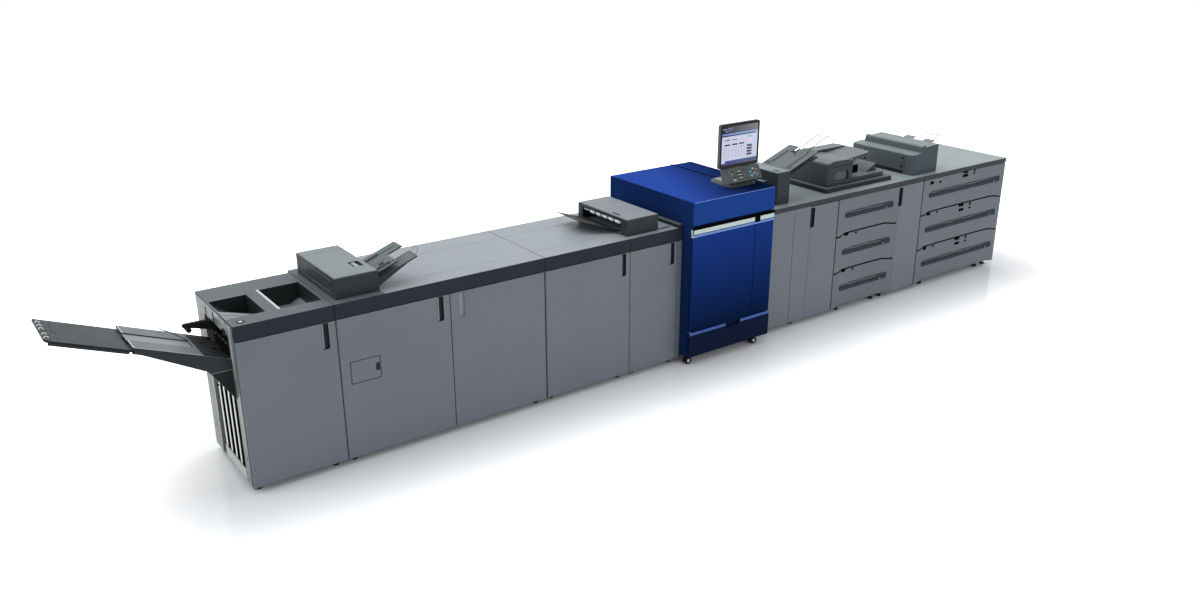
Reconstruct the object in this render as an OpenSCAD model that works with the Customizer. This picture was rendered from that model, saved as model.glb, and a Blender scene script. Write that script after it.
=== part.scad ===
// Digital production press: a straight line of floor-standing units.
// From left to right: trimmer with booklet tray, two-door stitcher with a
// sheet inserter, one-door folder, narrow transport unit, print engine with
// its operator panel, relay unit with an upright inserter, and two paper
// feeders with three drawers each.
//
// Along the line x = 0 is the left face of the trimmer, y = 0 is the plane of
// the grey doors and z = 0 is the floor. The finished model is then moved so
// that its origin is the middle of its footprint, on the floor.

/* [Units along the line] */
// Width of the trimmer at the left end
trimmer_w = 580; // [500:10:700]
// Width of the stitcher's left door
stitcher_left_w = 740; // [600:10:850]
// Width of the stitcher's right door
stitcher_right_w = 700; // [600:10:850]
// Width of the folder
folder_w = 696; // [600:2:800]
// Width of the transport unit beside the engine
transport_w = 470; // [400:10:560]
// Width of the print engine
engine_w = 800; // [720:10:900]
// Width of the engine's wide left door, seam to seam
engine_door_w = 609; // [540:1:640]
// Width of the relay unit right of the engine
relay_w = 334; // [320:2:420]
// Width of the fixed panel at the entry of the first feeder
entry_panel_w = 180; // [150:5:240]
// Width of each feeder's door
feeder_door_w = 320; // [280:5:380]
// Width of the first feeder's drawers
drawers_1_w = 740; // [640:10:900]
// Width of the second feeder's drawers
drawers_2_w = 1160; // [900:10:1300]

/* [Heights and depths] */
// Height of the grey finishing units
unit_h = 1045; // [980:5:1100]
// Depth of the grey finishing units
unit_d = 740; // [680:5:800]
// Height of the dark band under each top
band_h = 91; // [70:1:120]
// Height of the door bottoms above the floor
door_z = 40; // [30:1:60]
// Height of the feeder countertops
counter_h = 1020; // [980:5:1040]
// Thickness of the feeder countertops
counter_t = 39; // [25:1:50]
// Height of the print engine
engine_h = 1245; // [1180:5:1320]
// Depth of the print engine
engine_d = 985; // [900:5:1040]
// How far the engine stands out in front of the grey doors
engine_out = 110; // [80:5:160]
// Height of the engine's head cover
head_h = 178; // [150:2:200]
// Clearance under the engine
engine_z = 72; // [60:1:90]

/* [Panels, doors and fits] */
// Thickness of every door
door_t = 22; // [18:1:28]
// Open gap round every door and drawer front
door_gap = 6; // [5:0.5:8]
// Gap between a closed door and the housing behind it
door_back = 6; // [5:0.5:10]
// Radius of the hinge pins
pin_r = 4; // [3:0.5:6]
// Clearance between a pin or runner and what it carries
fit = 0.3; // [0.2:0.05:0.5]
// How far a hinge pin reaches into its door
pin_in = 18; // [12:1:30]
// Depth of the service bay behind the doors
bay_d = 120; // [80:5:200]
// Thickness of the side walls of every housing
wall_t = 24; // [18:1:40]
// Seam between neighbouring covers
seam = 4; // [2:1:6]
// Thickness of the pale top plates
top_t = 12; // [8:1:20]
// Width of the recessed door grips
grip_w = 44; // [36:1:54]
// Height of the recessed door grips
grip_h = 160; // [130:5:190]
// Depth of the recessed door grips
grip_d = 14; // [10:1:16]

/* [Trimmer and booklet tray] */
// Depth of the open end frame along the line
end_frame_w = 150; // [120:5:200]
// Slope of the booklet tray
tray_slope = 21.4; // [18:0.1:24]
// Width of the booklet tray
tray_w = 390; // [320:5:420]
// Middle of the paper path, behind the door plane
path_y = 295; // [280:5:320]
// Length of the fixed part of the booklet tray
tray_fixed_len = 525; // [450:5:600]
// How far the sliding extension stands out at rest
tray_out_len = 420; // [380:5:480]
// Thickness of the tray plates
tray_t = 12; // [8:1:16]
// How far below the trimmer's top the tray meets it
tray_drop = 223; // [190:1:260]

/* [Drawers] */
// Number of drawers in each feeder
drawer_n = 3; // [2:1:3]
// Depth of the paper tray behind each drawer front
drawer_tray_d = 600; // [560:5:620]
// Height of the paper tray's walls
drawer_wall_h = 180; // [140:5:200]
// Thickness of the paper tray's walls
drawer_wall_t = 3; // [2:0.5:5]
// Rise of the S-shaped edge of each drawer front
s_rise = 22; // [12:1:30]
// Depth of the hollow in the middle of each drawer front
dish = 7; // [4:0.5:9]
// Height of the handle pocket in each drawer front
pod_h = 58; // [48:1:70]

/* [Devices on top] */
// Width of the stitcher's sheet inserter, along the line
inserter_w = 274; // [250:2:300]
// Depth of the sheet inserter
inserter_d = 596; // [560:2:620]
// Height of the sheet inserter above the top plate
inserter_h = 133; // [115:1:160]
// Slope of the sheet inserter's trays
inserter_slope = 20; // [17:0.5:23]
// Width of the low relay box, along the line
box_w = 275; // [250:5:300]
// Depth of the low relay box
box_d = 584; // [540:2:620]
// Height of the low relay box above the top plate
box_h = 121; // [112:1:150]
// Width of the upright inserter, along the line
upright_w = 140; // [110:2:150]
// Depth of the upright inserter
upright_d = 402; // [380:2:440]
// Height of the upright inserter above the countertop
upright_h = 255; // [235:1:280]
// Slope of the upright inserter's trays
upright_slope = 20; // [16:0.5:24]
// Width of the platen below the document feeder
platen_w = 798; // [760:2:830]
// Depth of the platen
platen_d = 509; // [490:1:530]
// Thickness of the platen
platen_t = 36; // [30:1:44]
// Height of the document feeder above the countertop
lid_h = 240; // [220:2:260]
// Width of the long inserter, along the line
long_w = 316; // [290:2:340]
// Depth of the long inserter
long_d = 668; // [620:2:676]
// Height of the long inserter's left edge above the countertop
long_h = 177; // [160:1:200]

/* [Operator panel] */
// Width of the key console
console_w = 342; // [320:1:380]
// Width of the screen housing
screen_w = 384; // [350:2:420]
// Height of the screen housing
screen_h = 324; // [260:2:340]
// Thickness of the screen housing
screen_t = 42; // [34:1:56]

/* [Hidden] */
$fn = 48;
x_stitcher = trimmer_w;
x_mid = x_stitcher + stitcher_left_w;
x_folder = x_mid + stitcher_right_w;
x_transport = x_folder + folder_w;
x_engine = x_transport + transport_w;
x_split = x_engine + engine_door_w;
x_relay = x_engine + engine_w;
x_feeder_1 = x_relay + relay_w;
x_door_1 = x_feeder_1 + entry_panel_w;
x_drawers_1 = x_door_1 + feeder_door_w;
x_feeder_2 = x_drawers_1 + drawers_1_w;
x_drawers_2 = x_feeder_2 + feeder_door_w;
x_end = x_drawers_2 + drawers_2_w;
band_z = unit_h - band_h;
body_y = door_t + door_back;
door_top = band_z - door_gap;
under_z = counter_h - counter_t;

// Booklet tray: measured along its own slope from the root
tray_root_z = unit_h - tray_drop;
tray_len = tray_fixed_len + tray_out_len;
x_min = -tray_len * cos(tray_slope);
origin_x = (x_min + x_end) / 2;
origin_y = (engine_d - 2 * engine_out) / 2;

// Engine, from the floor up
kick_top = engine_z + 166;
ledge_top = kick_top + 24;
lug_t = 5;
engine_door_z = ledge_top + lug_t + door_gap / 2;
head_z = engine_h - head_h;
neck_z = head_z - 22;
blue_strip_z = [neck_z - 56, neck_z - 44];
white_strip_z = [neck_z - 36, neck_z - 1];
engine_door_top = blue_strip_z[0] - door_gap;
engine_body_y = -engine_out + door_t + door_back;
engine_back = engine_d - engine_out;

// Strip of the transport unit that is left beside its door
collar_w = 40;

// Each door: [left seam, right seam, bottom, top, front plane, hinge side]
D_TRIMMER = [0, x_stitcher, door_z, door_top, 0, -1];
D_STITCH_L = [x_stitcher, x_mid, door_z, door_top, 0, -1];
D_STITCH_R = [x_mid, x_folder, door_z, door_top, 0, 1];
D_FOLDER = [x_folder, x_transport, door_z, door_top, 0, -1];
D_TRANSPORT = [x_transport, x_engine - collar_w - 1, door_z, door_top, 0, -1];
D_ENGINE_L = [x_engine, x_split, engine_door_z, engine_door_top, -engine_out, -1];
D_ENGINE_R = [x_split, x_relay, engine_door_z, engine_door_top, -engine_out, 1];
D_FEEDER_1 = [x_door_1, x_drawers_1, door_z, under_z - door_gap, 0, 1];
D_FEEDER_2 = [x_feeder_2, x_drawers_2, door_z, under_z - door_gap, 0, 1];
DOORS = [D_TRIMMER, D_STITCH_L, D_STITCH_R, D_FOLDER, D_TRANSPORT,
         D_ENGINE_L, D_ENGINE_R, D_FEEDER_1, D_FEEDER_2];

// Drawer fronts share the height under the countertop
drawer_pitch = (under_z - door_z) / drawer_n;

// Colours
grey = [0.42, 0.44, 0.48];
slate = [0.19, 0.21, 0.24];
device = [0.33, 0.36, 0.37];
pale = [0.68, 0.71, 0.73];
navy = [0.08, 0.16, 0.46];
black = [0.07, 0.07, 0.08];
zinc = [0.74, 0.75, 0.75];

// A box from its low and high corners on each axis
module block(x, y, z)
    translate([x[0], y[0], z[0]]) cube([x[1] - x[0], y[1] - y[0], z[1] - z[0]]);

// A profile in y and z, extruded along x
module along_x(x)
    translate([x[0], 0, 0]) rotate([90, 0, 90]) linear_extrude(x[1] - x[0]) children();

// A profile in x and z, extruded along y
module along_y(y)
    translate([0, y[1], 0]) rotate([90, 0, 0]) linear_extrude(y[1] - y[0]) children();

// A plan in x and y, extruded upwards
module along_z(z) translate([0, 0, z[0]]) linear_extrude(z[1] - z[0]) children();

// A rectangle from its low and high corners
module rect(a, b) translate([a[0], b[0]]) square([a[1] - a[0], b[1] - b[0]]);

// A rectangle with round corners
module soft_rect(a, b, r) {
    for (u = [a[0] + r, a[1] - r]) for (v = [b[0] + r, b[1] - r]) translate([u, v]) circle(r);
    rect([a[0] + r, a[1] - r], b);
    rect(a, [b[0] + r, b[1] - r]);
}

// A rectangle whose low corner on both axes is round
module nosed_rect(a, b, r) {
    translate([a[0] + r, b[0] + r]) circle(r);
    rect([a[0] + r, a[1]], b);
    rect(a, [b[0] + r, b[1]]);
}

// A rectangle with its two upper corners round
module domed_rect(a, b, r) {
    for (u = [a[0] + r, a[1] - r]) translate([u, b[1] - r]) circle(r);
    rect([a[0] + r, a[1] - r], b);
    rect(a, [b[0], b[1] - r]);
}

// A rod along x or along y
module rod_x(x, y, z, r) translate([x[0], y, z]) rotate([0, 90, 0]) cylinder(r = r, h = x[1] - x[0]);

module rod_y(x, y, z, r) translate([x, y[1], z]) rotate([90, 0, 0]) cylinder(r = r, h = y[1] - y[0]);

// ---- Doors ----

function pin_x(d) = d[5] < 0 ? d[0] + door_gap / 2 + door_t / 2 : d[1] - door_gap / 2 - door_t / 2;

function pin_y(d) = d[4] + door_t / 2;

// Plan of a door: round about its hinge pin, square at its free edge
module door_plan(d) {
    translate([pin_x(d), pin_y(d)]) circle(d = door_t);
    x = d[5] < 0 ? [pin_x(d), d[1] - door_gap / 2] : [d[0] + door_gap / 2, pin_x(d)];
    rect(x, [d[4], d[4] + door_t]);
}

module door(d) {
    difference() {
        along_z([d[2], d[3]]) door_plan(d);
        for (z = [d[2] - 1, d[3] - pin_in])
            translate([pin_x(d), pin_y(d), z]) cylinder(r = pin_r + fit, h = pin_in + 1);
    }
}

// Grip pocket with round corners; x is its left edge
module grip(x, top)
    along_y([-1, grip_d]) soft_rect([x, x + grip_w], [top - grip_h, top], 6);

// A feeder door's fold: its free edge falls back a little beside the grip
fold_w = 24;
fold_d = 3;

module door_fold(d)
    along_z([d[2] - 1, d[3] + 1]) {
        x = d[0] + door_gap / 2;
        polygon([[x - 1, -1], [x + fold_w, -0.001], [x, fold_d], [x - 1, fold_d]]);
    }

// Pins of one door: the lower one on a lug fixed to the housing, the upper
// one under the band or cover over the door
module hinge(d) {
    back = d[4] + door_t + door_back;
    lug_top = d[2] - door_gap / 2;
    block([pin_x(d) - door_t / 2, pin_x(d) + door_t / 2], [pin_y(d), back], [lug_top - lug_t, lug_top]);
    translate([pin_x(d), pin_y(d), lug_top - lug_t]) cylinder(d = door_t, h = lug_t);
    translate([pin_x(d), pin_y(d), lug_top - 1]) cylinder(r = pin_r, h = pin_in - 1);
    translate([pin_x(d), pin_y(d), d[3] - pin_in + 2]) cylinder(r = pin_r, h = pin_in - 2 + door_gap);
}

module door_hinges() color("silver") for (d = DOORS) hinge(d);

module trimmer_door() color(grey)
    difference() { door(D_TRIMMER); grip(x_stitcher - 90, door_top - 2); }

module stitcher_left_door() color(grey)
    difference() {
        door(D_STITCH_L);
        grip(x_mid - 90, door_top - 2);
        hatch_opening();
    }

module stitcher_right_door() color(grey)
    difference() { door(D_STITCH_R); grip(x_mid + 58, door_top - 8); }

module folder_door() color(grey)
    difference() { door(D_FOLDER); grip(x_transport - 78, door_top - 2); }

module transport_door() color(grey)
    difference() { door(D_TRANSPORT); grip(x_engine - 117, door_top - 2); }

module engine_left_door() color(navy) door(D_ENGINE_L);

module engine_right_door() color(navy) door(D_ENGINE_R);

module feeder_1_door() color(grey)
    difference() { door(D_FEEDER_1); grip(x_door_1 - 1, under_z - 16); door_fold(D_FEEDER_1); }

module feeder_2_door() color(grey)
    difference() { door(D_FEEDER_2); grip(x_feeder_2 - 1, under_z - 16); door_fold(D_FEEDER_2); }

// ---- Service hatch in the stitcher's left door ----
hatch_w = 194;
hatch_h = 146;
hatch_x = [x_stitcher + 62, x_stitcher + 62 + hatch_w];
hatch_z = [door_top - 426, door_top - 426 + hatch_h];
hatch_t = 10;
hatch_gap = 5;
hatch_pin_r = 2;
hatch_pin_x = hatch_x[0] + hatch_gap + hatch_t / 2;

module hatch_opening() {
    block(hatch_x, [-1, hatch_t + hatch_gap], hatch_z);
    for (z = [hatch_z[0] - 8, hatch_z[1] - 1])
        translate([hatch_pin_x, hatch_t / 2, z]) cylinder(r = hatch_pin_r + fit, h = 9);
}

module service_hatch() color(grey) {
    difference() {
        along_z([hatch_z[0] + hatch_gap, hatch_z[1] - hatch_gap]) {
            translate([hatch_pin_x, hatch_t / 2]) circle(d = hatch_t);
            rect([hatch_pin_x, hatch_x[1] - hatch_gap], [0, hatch_t]);
        }
        // Finger recess beside the latch
        along_y([-1, 6]) soft_rect([hatch_x[1] - 34, hatch_x[1] - 12], [hatch_z[0] + 52, hatch_z[0] + 96], 5);
    }
    translate([hatch_pin_x, hatch_t / 2, hatch_z[0] - 6])
        cylinder(r = hatch_pin_r, h = hatch_h + 12);
}

// ---- Grey finishing units ----

// Carcass with a shallow service bay behind its doors
module carcass(x, y, z, bay_z) {
    difference() {
        block(x, y, z);
        block([x[0] + wall_t, x[1] - wall_t], [y[0] - 1, y[0] + bay_d], bay_z);
    }
}

module unit_carcass(x)
    carcass(x, [body_y, unit_d], [door_z, unit_h - top_t], [door_z + wall_t, band_z - wall_t]);

// The trimmer is a little shallower than the units beside it
trimmer_d = unit_d - 45;
trimmer_top_t = 30;
trimmer_top_z = unit_h - trimmer_top_t;

// Its two wells, open at the top: [x range, y range]
WELL_LEFT = [[8, end_frame_w + 78], [path_y - 165, path_y + 175]];
WELL_RIGHT = [[x_stitcher - 269, x_stitcher - 24], [path_y - 175, path_y + 205]];
well_floor = unit_h - 130;
slide_t = 4;
lip_t = 3;
cover_t = 10;
sheet_t = 4;

module trimmer_housing() color(grey)
    difference() {
        carcass([end_frame_w, x_stitcher], [body_y, trimmer_d], [door_z, trimmer_top_z],
                [door_z + wall_t, well_floor - wall_t]);
        block([end_frame_w - 1, WELL_LEFT[0][1]], WELL_LEFT[1], [well_floor, unit_h]);
        // The right well's floor is folded to a shallow V
        x = WELL_RIGHT[0];
        along_y(WELL_RIGHT[1])
            polygon([[x[0], unit_h], [x[0], well_floor + 38], [x[0] + 110, well_floor],
                     [x[1] - 60, well_floor], [x[1], well_floor + 30], [x[1], unit_h]]);
    }

// Top cover; a slide runs from its left rim down to the floor of the left well
module trimmer_top() color(pale) {
    difference() {
        union() {
            along_z([unit_h - lip_t, unit_h]) nosed_rect([0, x_stitcher - seam / 2], [0, trimmer_d], 10);
            block([0, x_stitcher - seam / 2], [body_y, trimmer_d], [unit_h - cover_t, unit_h]);
            block([sheet_t, x_stitcher - seam / 2], [body_y, trimmer_d], [trimmer_top_z, unit_h - 1]);
        }
        for (w = [WELL_LEFT, WELL_RIGHT]) block(w[0], w[1], [trimmer_top_z - 1, unit_h + 1]);
    }
    x = WELL_LEFT[0];
    along_y(WELL_LEFT[1])
        polygon([[x[0] - 1, unit_h - 13], [x[0] - 1, unit_h - 13 - slide_t], [x[1] - 42, well_floor],
                 [x[1] - 2, well_floor], [x[1] - 2, well_floor + slide_t],
                 [x[1] - 42, well_floor + slide_t]]);
}

module stitcher_housing() color(grey) unit_carcass([x_stitcher, x_folder]);

module folder_housing() color(grey) unit_carcass([x_folder, x_transport]);

// A filler closes the gap between the transport unit's door and the engine
module transport_housing() color(grey) {
    unit_carcass([x_transport, x_engine]);
    block([x_engine - collar_w + 2, x_engine - 2], [3, body_y + 1], [door_z, door_top]);
}

// Dark band in front of each unit's top, and the raised collar where the
// transport unit meets the engine
collar_h = 24;

module front_bands() color(slate) {
    for (x = [[0, x_stitcher], [x_stitcher, x_folder], [x_folder, x_transport], [x_transport, x_engine]])
        block([x[0] + seam / 2, x[1] - seam / 2], [0, body_y], [band_z, unit_h - lip_t]);
    block([x_engine - 2 - collar_w, x_engine - 2], [0, unit_d], [unit_h, unit_h + collar_h]);
}

module top_plates() color(pale)
    for (x = [[x_stitcher, x_folder], [x_folder, x_transport], [x_transport, x_engine]])
        difference() {
            along_x([x[0] + seam / 2, x[1] - seam / 2])
                polygon([[0, unit_h - lip_t], [0, unit_h], [unit_d, unit_h], [unit_d, unit_h - top_t],
                         [body_y, unit_h - top_t], [body_y, unit_h - lip_t]]);
            // Joint lines of the lift-off panel in the middle
            for (y = [145, unit_d - 195])
                block([x[0], x[1]], [y - 1, y + 1], [unit_h - 2, unit_h + 1]);
        }

// ---- Open end frame of the trimmer, folded from sheet ----
flange = 40;
post_y = [path_y - tray_w / 2 + 12, path_y + tray_w / 2 - 12];
cross_z = unit_h - 90;
sill_h = 80;
rear_y = post_y[1] + 72;

module end_frame() color(zinc) {
    z = [door_z, unit_h - cover_t];
    // Front post, rear sheet and their folded returns
    block([0, sheet_t], [body_y, post_y[0]], z);
    block([0, flange], [post_y[0] - sheet_t, post_y[0]], [z[0], trimmer_top_z]);
    block([0, end_frame_w], [body_y, body_y + sheet_t], [z[0], trimmer_top_z]);
    block([0, sheet_t], [rear_y, trimmer_d], z);
    block([0, flange], [rear_y, rear_y + sheet_t], [z[0], trimmer_top_z]);
    block([0, end_frame_w], [trimmer_d - sheet_t, trimmer_d], [z[0], trimmer_top_z]);
    // Sill with its lip, and the cross member under the top cover
    block([0, end_frame_w], [body_y, trimmer_d], [door_z, door_z + sheet_t]);
    block([0, sheet_t], [post_y[0], post_y[1] + 12], [door_z, door_z + sill_h]);
    difference() {
        block([0, sheet_t], [post_y[0], rear_y], [cross_z, z[1]]);
        along_x([-1, sheet_t + 1]) {
            rect([post_y[0] + 40, post_y[0] + 110], [cross_z - 1, cross_z + 22]);
            rect([post_y[1] - 130, post_y[1] - 105], [cross_z - 1, z[1] - 16]);
            rect([post_y[1] + 14, rear_y - 36], [cross_z - 1, z[1] - 24]);
        }
    }
}

// Channels that guide the waste bin, lips outwards
rail_w = 24;
rail_d = 30;

module guide_rails() color(zinc)
    for (i = [0:3]) {
        y = post_y[0] + 86 + 88 * i;
        difference() {
            block([sheet_t + fit, sheet_t + fit + rail_d], [y - rail_w / 2, y + rail_w / 2],
                  [door_z + sheet_t, tray_root_z - 122]);
            block([sheet_t + 4, sheet_t + 2 + rail_d], [y - rail_w / 2 + 4, y + rail_w / 2 - 4],
                  [door_z, unit_h]);
        }
    }

// Booklet exit: roller carrier, a shaft with rubber rollers, and the press
// arm that reaches out over the tray
exit_z = [tray_root_z + 26, tray_root_z + 98];

module exit_unit() color(black) {
    y = [post_y[0] + 5, post_y[1] - 5];
    block([60, end_frame_w], y, exit_z);
    for (v = [y[0], y[1] - 10]) block([14, 61], [v, v + 10], [exit_z[0], exit_z[0] + 40]);
    rod_y(26, y, exit_z[0] + 14, 6);
    for (i = [0:4]) {
        v = y[0] + 40 + i * (y[1] - y[0] - 110) / 4;
        rod_y(26, [v, v + 26], exit_z[0] + 14, 12);
    }
    arm_y = [post_y[1] - 52, post_y[1] - 30];
    arm_z = tray_root_z + 121;
    along_y(arm_y) {
        translate([-145, arm_z]) circle(13);
        polygon([[-145, arm_z + 13], [-145, arm_z - 13], [-100, arm_z - 20], [-24, arm_z - 44],
                 [62, arm_z - 70], [62, arm_z - 26], [-24, arm_z + 11]]);
    }
    rod_y(-128, [arm_y[0] - 12, arm_y[1] + 6], arm_z - 24, 15);
    along_y(arm_y) rect([-136, -120], [arm_z - 28, arm_z]);
}

// ---- Booklet tray ----

// Tray frame: x along the slope away from the trimmer, y towards the doors,
// z normal to the tray
module tray_frame()
    translate([0, path_y, tray_root_z]) rotate([0, 0, 180]) rotate([0, -tray_slope, 0]) children();

tray_side_t = 8;
tray_lift = 5;
tray_ledge = 12;
ext_z = -tray_t - tray_lift;
channel_y = [-64, 58];
channel_d = tray_t - 5;

// Side cheek in x and z: thin at its outer end and deep at the trimmer
module tray_cheek() {
    out = tray_fixed_len * cos(tray_slope);
    top = tray_root_z + tray_fixed_len * sin(tray_slope);
    polygon([[0, tray_root_z], [-out, top], [-out, top - 32], [-134, tray_root_z - 43],
             [-120, tray_root_z - 62], [0, tray_root_z - 250]]);
}

module booklet_tray() color(grey) {
    tray_frame()
        difference() {
            block([40, tray_fixed_len], [-tray_w / 2 + 1, tray_w / 2 - 1], [-tray_t, 0]);
            block([170, tray_fixed_len + 1], channel_y, [-channel_d, 1]);
        }
    for (y = [path_y - tray_w / 2, path_y + tray_w / 2 - tray_side_t])
        along_y([y, y + tray_side_t]) tray_cheek();
    // Cross plate between the cheeks, under the root of the tray
    block([-30, -18], [path_y - tray_w / 2 + 1, path_y + tray_w / 2 - 1],
          [tray_root_z - 150, tray_root_z - 20]);
    // Ledges that the extension runs on
    tray_frame()
        for (s = [-1, 1])
            block([150, tray_fixed_len - 5],
                  s > 0 ? [tray_w / 2 - tray_side_t - tray_ledge, tray_w / 2 - 1]
                        : [-tray_w / 2 + 1, -tray_w / 2 + tray_side_t + tray_ledge],
                  [ext_z - tray_t - fit - 6, ext_z - tray_t - fit]);
}

module tray_extension() color(grey)
    tray_frame() {
        half = tray_w / 2 - tray_side_t - 5;
        r = 26;
        along_z([ext_z - tray_t, ext_z]) {
            rect([tray_fixed_len - 60, tray_len - r], [-half, half]);
            rect([tray_len - r - 1, tray_len], [-half, half - r]);
            translate([tray_len - r, half - r]) circle(r);
        }
    }

// ---- Inserter on the stitcher ----
ins_x = [x_stitcher + 38, x_stitcher + 38 + inserter_w];
ins_y = [62, 62 + inserter_d];
ins_top = unit_h + inserter_h;
ins_mouth_d = 14;

module stitcher_inserter() color(device)
    difference() {
        intersection() {
            along_y(ins_y) domed_rect(ins_x, [unit_h, ins_top], 9);
            along_x(ins_x) domed_rect(ins_y, [unit_h, ins_top], 9);
        }
        // Latch recess in the top, panel outline on the left face
        block([ins_x[1] - 97, ins_x[1] - 32], [190, 285], [ins_top - 10, ins_top + 1]);
        along_x([ins_x[0] - 1, ins_x[0] + 3])
            difference() {
                rect([ins_y[0] + 46, ins_y[1] - 60], [unit_h + 26, ins_top - 26]);
                rect([ins_y[0] + 50, ins_y[1] - 64], [unit_h + 30, ins_top - 30]);
            }
        // Mouths that the two trays pass into
        for (z = [[ins_top - 48, ins_top - 14], [ins_top - 90, ins_top - 60]])
            block([ins_x[1] - ins_mouth_d, ins_x[1] + 1], [ins_y[0] + 8, ins_y[0] + 280], z);
    }

// A sheet tray: l runs up its slope from the root, v is the y axis; two
// tongues stand on either side of a notch in its end
module sheet_tray(root_x, root_z, slope, len, v, notch, notch_len, t)
    translate([root_x, 0, root_z]) rotate([0, -slope, 0])
        difference() {
            along_z([-t, 0]) {
                rect([0, len - 12], v);
                rect([len - 13, len], [v[0] + 12, v[1] - 12]);
                for (c = [v[0] + 12, v[1] - 12]) translate([len - 12, c]) circle(12);
            }
            block([len - notch_len, len + 1], notch, [-t - 1, 1]);
        }

// Side guide: a low fin that stands on a sheet tray
module side_guide(root_x, root_z, slope, l, v, h)
    translate([root_x, 0, root_z]) rotate([0, -slope, 0]) {
        block(l, [v, v + 4], [-1, h]);
        block(l, [v - 9, v + 13], [-1, 3]);
    }

ins_tray_t = 8;
ins_tray_v = [ins_y[0] + 10, ins_y[0] + 268];

// Each tray: [drop of its root below the top, length, length of the notch, notch]; the
// upper one keeps its rear tongue and the lower one its front tongue
INS_TRAYS = [[26, 262, 107, [ins_tray_v[0] - 1, ins_tray_v[0] + 143]],
             [68, 297, 127, [ins_tray_v[0] + 118, ins_tray_v[1] + 1]]];

module inserter_trays() color(device) {
    root_x = ins_x[1] - ins_mouth_d + fit;
    for (t = INS_TRAYS)
        sheet_tray(root_x, ins_top - t[0], inserter_slope, t[1], ins_tray_v, t[3], t[2], ins_tray_t);
    // Bracket under the front edge of the lower tray
    along_y([ins_tray_v[0], ins_tray_v[0] + 6])
        translate([ins_x[1] + 1, ins_top - 68])
            polygon([[0, -36], [10, -36], [196, 196 * tan(inserter_slope) - 4],
                     [196, 196 * tan(inserter_slope)], [0, 0]]);
    for (v = [ins_tray_v[0] + 30, ins_tray_v[1] - 60])
        side_guide(root_x, ins_top - INS_TRAYS[0][0], inserter_slope, [24, 118], v, 10);
}

// ---- Low relay box on the transport unit ----
box_x = [x_transport + 9, x_transport + 9 + box_w];
box_y = [50, 50 + box_d];
box_top = unit_h + box_h;
mouth_y = [box_y[0] + 70, box_y[1] - 54];
mouth_h = [8, box_h - 25];
mouth_d = 120;

module relay_box() color(device)
    difference() {
        intersection() {
            along_y(box_y) domed_rect(box_x, [unit_h, box_top], 10);
            along_x(box_x) domed_rect(box_y, [unit_h, box_top], 10);
        }
        block([box_x[0] - 1, box_x[0] + mouth_d], mouth_y, [unit_h + mouth_h[0], unit_h + mouth_h[1]]);
        // Finger recess in the top
        block([box_x[0] + 24, box_x[0] + 40], [174, 259], [box_top - 8, box_top + 1]);
    }

// Rollers along the upper edge of the mouth, on one shaft
module exit_rollers() color("white") {
    x = box_x[0] + 15;
    z = unit_h + mouth_h[1] - 15;
    rod_y(x, mouth_y, z, 4);
    for (i = [0:4]) {
        v = mouth_y[0] + 26 + 74 * i;
        rod_y(x, [v, v + 44], z, 14);
    }
}

// Output tray: it rests on the mouth's floor and rises away from the box
relay_tray_t = 5;
relay_tray_slope = 17;

module relay_tray() color(device)
    translate([box_x[0] + 30, 0, unit_h + mouth_h[0] + fit]) rotate([0, relay_tray_slope, 0])
        along_z([0, relay_tray_t])
            polygon([[0, mouth_y[0] + 40], [-40, mouth_y[0] + 40], [-150, mouth_y[0] + 100],
                     [-250, mouth_y[0] + 186], [-250, mouth_y[1] + 20], [-40, mouth_y[1] - 20],
                     [0, mouth_y[1] - 20]]);

// ---- Print engine ----

module engine_body() color(navy)
    difference() {
        block([x_engine, x_relay], [engine_body_y, engine_back], [engine_z, neck_z]);
        block([x_engine + wall_t, x_relay - wall_t], [engine_body_y - 1, engine_body_y + bay_d],
              [engine_door_z + wall_t, engine_door_top - wall_t]);
    }

// Head cover on a recessed neck, with a joint line across its top and back
// over the split of the doors
module engine_head() color(navy) {
    y = [-engine_out, engine_back];
    block([x_engine + 1, x_relay - 1], [y[0] + 26, y[1] - 26], [neck_z, head_z + 1]);
    difference() {
        intersection() {
            along_x([x_engine, x_relay]) soft_rect(y, [head_z, engine_h], 20);
            along_z([head_z, engine_h]) soft_rect([x_engine, x_relay], y, 14);
        }
        block([x_split - 2.5, x_split + 2.5], [-engine_out + 60, y[1] + 1], [engine_h - 6, engine_h + 1]);
        block([x_split - 2.5, x_split + 2.5], [y[1] - 6, y[1] + 1], [head_z - 1, engine_h + 1]);
    }
}

module engine_strips() color("white") {
    y = [-engine_out, engine_body_y];
    block([x_engine + 8, x_split - 11], y, white_strip_z);
    block([x_split + 46, x_relay - 5], y, white_strip_z);
    block([x_engine + 8, x_relay - 5], y, blue_strip_z);
}

// Lower front panel: its ledge is interrupted by a foot recess
module engine_kick() color(navy)
    difference() {
        union() {
            block([x_engine, x_relay], [-engine_out, engine_body_y], [engine_z, kick_top]);
            block([x_engine, x_relay], [-engine_out + 4, engine_body_y], [kick_top, ledge_top]);
        }
        block([x_split - 256, x_split - 113], [-engine_out - 1, -engine_out + 18], [kick_top - 10, ledge_top + 1]);
        block([x_engine - 1, x_relay + 1], [-engine_out - 1, -engine_out + 3], [kick_top - 3, kick_top + 3]);
    }

// Twin-wheel caster: mounting plate, stem, hooded fork and two wheels
module caster(x, y, h) {
    r = 0.38 * h;
    rod_y(x, [y - 20, y + 20], r, r * 0.4);
    for (v = [[y - 21, y - 6], [y + 6, y + 21]]) rod_y(x, v, r, r);
    block([x - 0.7 * r, x + 0.7 * r], [y - 5, y + 5], [r * 0.8, h - 4]);
    block([x - r, x + r], [y - 23, y + 23], [h - 4, h]);
}

module engine_casters() color(black)
    for (x = [x_engine + 32, x_relay - 105]) for (y = [-engine_out + 60, engine_back - 60])
        caster(x, y, engine_z);

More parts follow.
